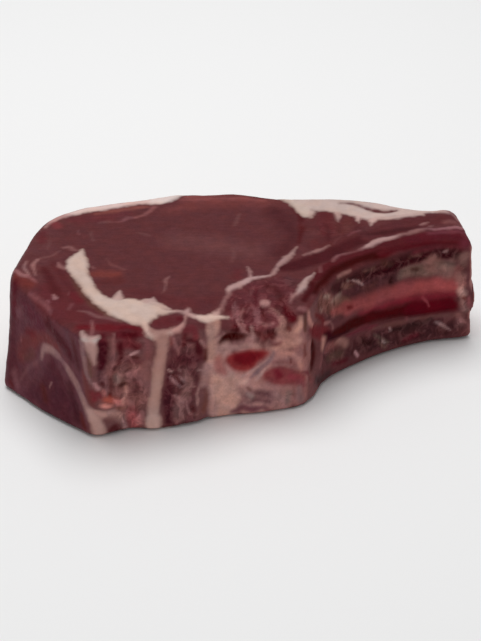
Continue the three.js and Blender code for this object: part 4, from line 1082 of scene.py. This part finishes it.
SKIN_SIZE, FOLD_SIZE, TURN_SIZE = 14, 20, 9
SKIN_SEED, FOLD_SEED, TURN_SEED = 61, 73, 67
FOLD_WANDER = 1.5
LEFT_SLOPE_X = (-60, -78)  # where the fat under the skin gets thinner towards the left end
CORNER_X = (-56, -50)  # where the left end turns into the front
RIB_START_X = (24, 28)  # where the front turns into the side of the rib
RIB_END_X = (70, 78)


def skin_side(points):
    """The side under the skin: fat, thin in places, where lean meat and pale membranes show through it."""
    depth = layered_noise(points, SKIN_SIZE, SKIN_SEED, layers=4, stretch=(1.7, 1, 1))
    depth -= 0.25 * smooth_step(*LEFT_SLOPE_X, points[:, 0])
    veil = smooth_step(-0.3, -0.12, depth)
    thick = smooth_step(0.06, 0.3, depth)
    folds = layered_noise(wandered(points, FOLD_WANDER), FOLD_SIZE, FOLD_SEED, layers=2, stretch=(2.6, 1, 1))
    membrane = 0.6 * smooth_step(0.05, 0.015, np.abs(folds))
    layers = [
        (veil, seen(BASE_COLOURS["skin fat"])),
        (thick, seen(BASE_COLOURS["skin pale"])),
        (membrane, seen(BASE_COLOURS["membrane"])),
    ]
    return laid_over(seen(BASE_COLOURS["skin lean"]), layers)


def base_colour(points, normals):
    """The colour of each point before anything is painted on it, by the way it faces."""
    x = points[:, 0]
    turned = normals[:, 1] + 0.3 * noise(points, TURN_SIZE, TURN_SEED)
    on_skin = smooth_step(-0.1, 0.4, turned) * smooth_step(-0.3, -0.1, normals[:, 1])
    on_end = smooth_step(0.5, 0.8, normals[:, 0]) * smooth_step(*RIB_END_X, x)
    on_face = smooth_step(0.35, 0.75, np.abs(normals[:, 2]))
    layers = [
        (smooth_step(*CORNER_X, x), seen(BASE_COLOURS["front"])),
        (smooth_step(*RIB_START_X, x), seen(BASE_COLOURS["rib side"])),
        (on_skin, skin_side(points)),
        (on_end, seen(BASE_COLOURS["right end"])),
        (on_face, seen(BASE_COLOURS["sawn"])),
    ]
    return laid_over(seen(BASE_COLOURS["left"]), layers)


def add_colour(mesh, name, values):
    layer = mesh.color_attributes.new(name, "FLOAT_COLOR", "POINT")
    rgba = np.ones((len(values), 4), np.float32)
    rgba[:, :3] = np.clip(values, 0, 1)
    layer.data.foreach_set("color", rgba.ravel())


def add_number(mesh, name, values):
    layer = mesh.attributes.new(name, "FLOAT", "POINT")
    layer.data.foreach_set("value", values.astype(np.float32))


# ---------- materials ----------
GLOSS = 0.025
GRAIN = 0.05  # how much lighter and darker the grain makes a tone
NOISE_RANGE = (0.3, 0.7)  # nearly all noise lies between these
STRAND = (*linear((172, 134, 129)), 1)


class Nodes:
    """Short ways to add and link shader nodes."""

    def __init__(self, name):
        self.material = bpy.data.materials.new(name)
        self.material.use_nodes = True
        self.tree = self.material.node_tree
        self.shader = self.tree.nodes["Principled BSDF"]
        self.shader.inputs["Specular IOR Level"].default_value = GLOSS

    def add(self, kind, values=(), **settings):
        node = self.tree.nodes.new("ShaderNode" + kind)
        for key, value in settings.items():
            setattr(node, key, value)
        for key, value in dict(values).items():
            self.give(node.inputs[key], value)
        return node

    def give(self, socket, value):
        if isinstance(value, bpy.types.NodeSocket):
            self.tree.links.new(value, socket)
        else:
            socket.default_value = value

    def number(self, name):
        return self.add("Attribute", attribute_name=name).outputs["Fac"]

    def colour(self, name):
        return self.add("Attribute", attribute_name=name).outputs["Color"]

    def math(self, operation, a, b=0.0, c=0.0):
        return self.add("Math", {0: a, 1: b, 2: c}, operation=operation).outputs[0]

    def ramp(self, value, low, high, to_low=0.0, to_high=1.0):
        values = {"Value": value, "From Min": low, "From Max": high, "To Min": to_low, "To Max": to_high}
        return self.add("MapRange", values, interpolation_type="SMOOTHSTEP").outputs["Result"]

    def mix(self, share, a, b, blend="MIX"):
        node = self.add("Mix", data_type="RGBA", blend_type=blend)
        self.give(node.inputs["Factor"], share)
        self.give(node.inputs["A"], a)
        self.give(node.inputs["B"], b)
        return node.outputs["Result"]

    def scaled(self, colour, factor):
        values = {"Vector": colour, "Scale": factor}
        return self.add("VectorMath", values, operation="SCALE").outputs["Vector"]

    def bump(self, grain, grain_height, strands, strand_height, strength):
        """Fine relief: a grain and torn strands, each so many mm high."""
        strand_relief = self.math("MULTIPLY", strands, strand_height)
        height = self.math("MULTIPLY_ADD", grain, grain_height, strand_relief)
        made = self.add("Bump", {"Height": height, "Distance": 1.0 * MM, "Strength": strength})
        self.give(self.shader.inputs["Normal"], made.outputs["Normal"])

    def noise(self, size, detail=3.0, stretch=(1, 1, 1), roughness=0.5, distortion=0.0):
        """Noise with bumps about size mm across."""
        place = self.add("TexCoord").outputs["Object"]
        scale = tuple(1 / s for s in stretch)
        placed = self.add("Mapping", {"Vector": place, "Scale": scale}).outputs["Vector"]
        values = {
            "Vector": placed,
            "Scale": 1 / (size * MM),
            "Detail": detail,
            "Roughness": roughness,
            "Distortion": distortion,
        }
        return self.add("TexNoise", values).outputs["Fac"]

    def spread(self, pattern, to_low, to_high):
        """Noise drawn out, so that it runs from one value to the other."""
        return self.ramp(pattern, *NOISE_RANGE, to_low, to_high)

    def grained(self, tone, pattern, by):
        """The tone, lighter and darker by this share with the pattern."""
        return self.scaled(tone, self.spread(pattern, 1 - by, 1 + by))


SWIRL_SIZE = 3.2
SWIRL_LIGHT = 0.32  # how much lighter or darker a swirl is
SWIRL_PALE = 0.1  # how much of the strand's own colour a pale swirl has


def torn_tone(n, tone, torn):
    """Pale swirls and dark gaps over a tone, as strong as torn says, and the height of the swirls."""
    swirls = n.noise(SWIRL_SIZE, detail=2, roughness=0.55, distortion=0.9, stretch=(1, 1, 1.3))
    gap = n.math("MULTIPLY", n.ramp(swirls, 0.52, 0.36), torn)
    pale = n.math("MULTIPLY", n.ramp(swirls, 0.48, 0.64), torn)
    light = n.math("SUBTRACT", pale, gap)
    broken = n.scaled(tone, n.math("MULTIPLY_ADD", light, SWIRL_LIGHT, 1.0))
    broken = n.mix(n.math("MULTIPLY", pale, SWIRL_PALE), broken, STRAND)
    return broken, light


def fat_cover(n):
    """1 where the surface is fat, with an uneven edge."""
    uneven = n.ramp(n.noise(3, detail=1), 0.25, 0.75, -0.3, 0.3)
    return n.ramp(n.math("ADD", uneven, n.number("fat")), 0.85, -0.85)


def mottled(n, tone, light, hue):
    """A tone that drifts by these shares between light and dark and between warm and cool."""
    dappled = n.grained(tone, n.noise(3.4, detail=3, roughness=0.6), light)
    drift = n.ramp(n.noise(6, detail=2), 0.35, 0.65)
    tint = n.mix(drift, (1 + hue, 1, 1 - hue, 1), (1 - hue, 1, 1 + hue, 1))
    return n.mix(1.0, dappled, tint, "MULTIPLY")


def meat_material():
    n = Nodes("raw_meat")
    grain = n.noise(0.9, detail=4, roughness=0.6)
    fibres = n.noise(1.1, detail=2, stretch=(7, 1, 1))
    tone = mottled(n, n.colour("tone"), 0.07, 0.03)
    tone = n.grained(n.grained(tone, grain, GRAIN), fibres, GRAIN)
    tone, strands = torn_tone(n, tone, n.number("torn"))
    fat_tone = mottled(n, n.colour("fat_tone"), 0.05, 0.02)
    blush = n.ramp(n.number("fat"), -1.8, 0.2, 0.0, 0.3)
    colour = n.mix(fat_cover(n), tone, n.mix(blush, fat_tone, tone))
    n.give(n.shader.inputs["Base Color"], colour)
    n.give(n.shader.inputs["Roughness"], n.spread(n.noise(2.2, detail=3), 0.34, 0.55))
    n.bump(grain, 0.14, strands, 0.22, strength=0.8)
    return n.material


def bone_material():
    n = Nodes("raw_bone")
    pores = n.noise(0.8, detail=3, roughness=0.6)
    tone = mottled(n, n.colour("tone"), 0.1, 0.03)
    tone, strands = torn_tone(n, n.grained(tone, pores, GRAIN), n.number("torn"))
    n.give(n.shader.inputs["Base Color"], tone)
    n.give(n.shader.inputs["Roughness"], n.spread(pores, 0.4, 0.6))
    n.bump(pores, 0.2, strands, 0.2, strength=0.7)
    return n.material


# ---------- the pieces ----------
BONES = ("backbone", "rib")
RELAX_ROUNDS = 14
BORDER = 1.4  # how much of a bone's border the flesh covers, so that no gap shows round it
BONE_SINK = 0.3  # how deep the flesh lies under a bone that shows, and a bone under the flesh on its border
FAT_RISE = 0.35
LUMP_RISE = 0.22
SHRED_RISE = 0.5
LUMP_SIZE, SHRED_SIZE = 5, 3
LUMP_SEED, SHRED_SEED = 3, 11


def uneven_height(points, fat, torn):
    """How far the surface rises or falls at each point: fat stands proud, and torn meat is lumpy."""
    proud = FAT_RISE * smooth_step(1.0, -1.6, fat)
    lumps = LUMP_RISE * layered_noise(points, LUMP_SIZE, LUMP_SEED)
    shreds = SHRED_RISE * torn * layered_noise(points, SHRED_SIZE, SHRED_SEED, stretch=(1, 1, 1.6))
    return proud + lumps + shreds


def finish_surface(mesh, canvas, sink):
    """Gives a piece its relief and its colours, and sinks each point by so many mm."""
    points, normals = points_of(mesh), normals_of(mesh)
    drawn_at = wandered(points, WANDER)
    fat, fat_tone = fat_fields(canvas, wandered(points, FAT_WANDER), normals)
    tone = painted(canvas, drawn_at, normals)
    torn = coarseness(canvas, drawn_at)
    height = uneven_height(points, fat, torn) + relief_height(canvas, drawn_at)
    on_floor = facing_down(normals) * smooth_step(3, 0.5, points[:, 2])
    points = points + normals * (height * (1 - on_floor))[:, None]
    heights = np.maximum(points[:, 2], 0)
    points[:, 2] = heights
    points -= normals * sink[:, None]
    move_points(mesh, points)
    add_colour(mesh, "tone", as_reflected(tone, normals, heights))
    add_colour(mesh, "fat_tone", as_reflected(fat_tone, normals, heights))
    add_number(mesh, "fat", fat)
    add_number(mesh, "torn", torn)


def away_from(nodes, points):
    """How far each point is from the nearest of these solids, in mm."""
    away = np.full(len(points), FAR)
    for node in nodes:
        tree = Canvas(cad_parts[node].data).tree
        away = np.minimum(away, [tree.find_nearest(place)[3] for place in points.tolist()])
    return away


def bone_border(points):
    """0 well inside the border of a bone, 1 at the border and on the flesh."""
    return 1 - smooth_step(BORDER, BORDER + 1, away_from(["flesh"], points))


def middle_of_neighbours(points, a, b):
    """The middle of each point's neighbours, where a and b are the two ends of every edge."""
    size = len(points)
    count = np.bincount(a, minlength=size) + np.bincount(b, minlength=size)
    sums = [np.bincount(a, values[b], size) + np.bincount(b, values[a], size) for values in points.T]
    return np.stack(sums, axis=1) / count[:, None]


def relax_near_bones(mesh):
    """Smooths away the seam that is left in the flesh along the border of each bone."""
    points = points_of(mesh)
    near_bone = smooth_step(3.2, 1.6, away_from(BONES, points))
    share = (near_bone * smooth_step(0.5, 3, points[:, 2]))[:, None]
    ends = np.empty(2 * len(mesh.edges), np.int32)
    mesh.edges.foreach_get("vertices", ends)
    a, b = ends.reshape(-1, 2).T
    for _ in range(RELAX_ROUNDS):
        points += share * (middle_of_neighbours(points, a, b) - points)
    move_points(mesh, points)


def add_piece(piece, node, material):
    piece.data.materials.append(material)
    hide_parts(node)
    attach(piece, "root")


def make_flesh():
    """Makes the flesh, which runs on under the bones. Gives the surface that all strokes are drawn on."""
    meshes = [mesh_copy("flesh")] + [mesh_copy(node, BONE_SWELL) for node in BONES]
    piece = joined(meshes, "chop_flesh")
    remeshed(piece, VOXEL)
    relax_near_bones(piece.data)
    canvas = Canvas(piece.data)
    finish_surface(piece.data, canvas, BONE_SINK * (1 - bone_border(points_of(piece.data))))
    add_piece(piece, "flesh", meat_material())
    return canvas


def make_bones(canvas):
    material = bone_material()
    for node in BONES:
        piece = joined([mesh_copy(node, BONE_SWELL)], "chop_" + node)
        remeshed(piece, BONE_VOXEL)
        finish_surface(piece.data, canvas, BONE_SINK * bone_border(points_of(piece.data)))
        add_piece(piece, node, material)


add_camera()
add_floor()
add_lamp()
add_sky()
make_bones(make_flesh())
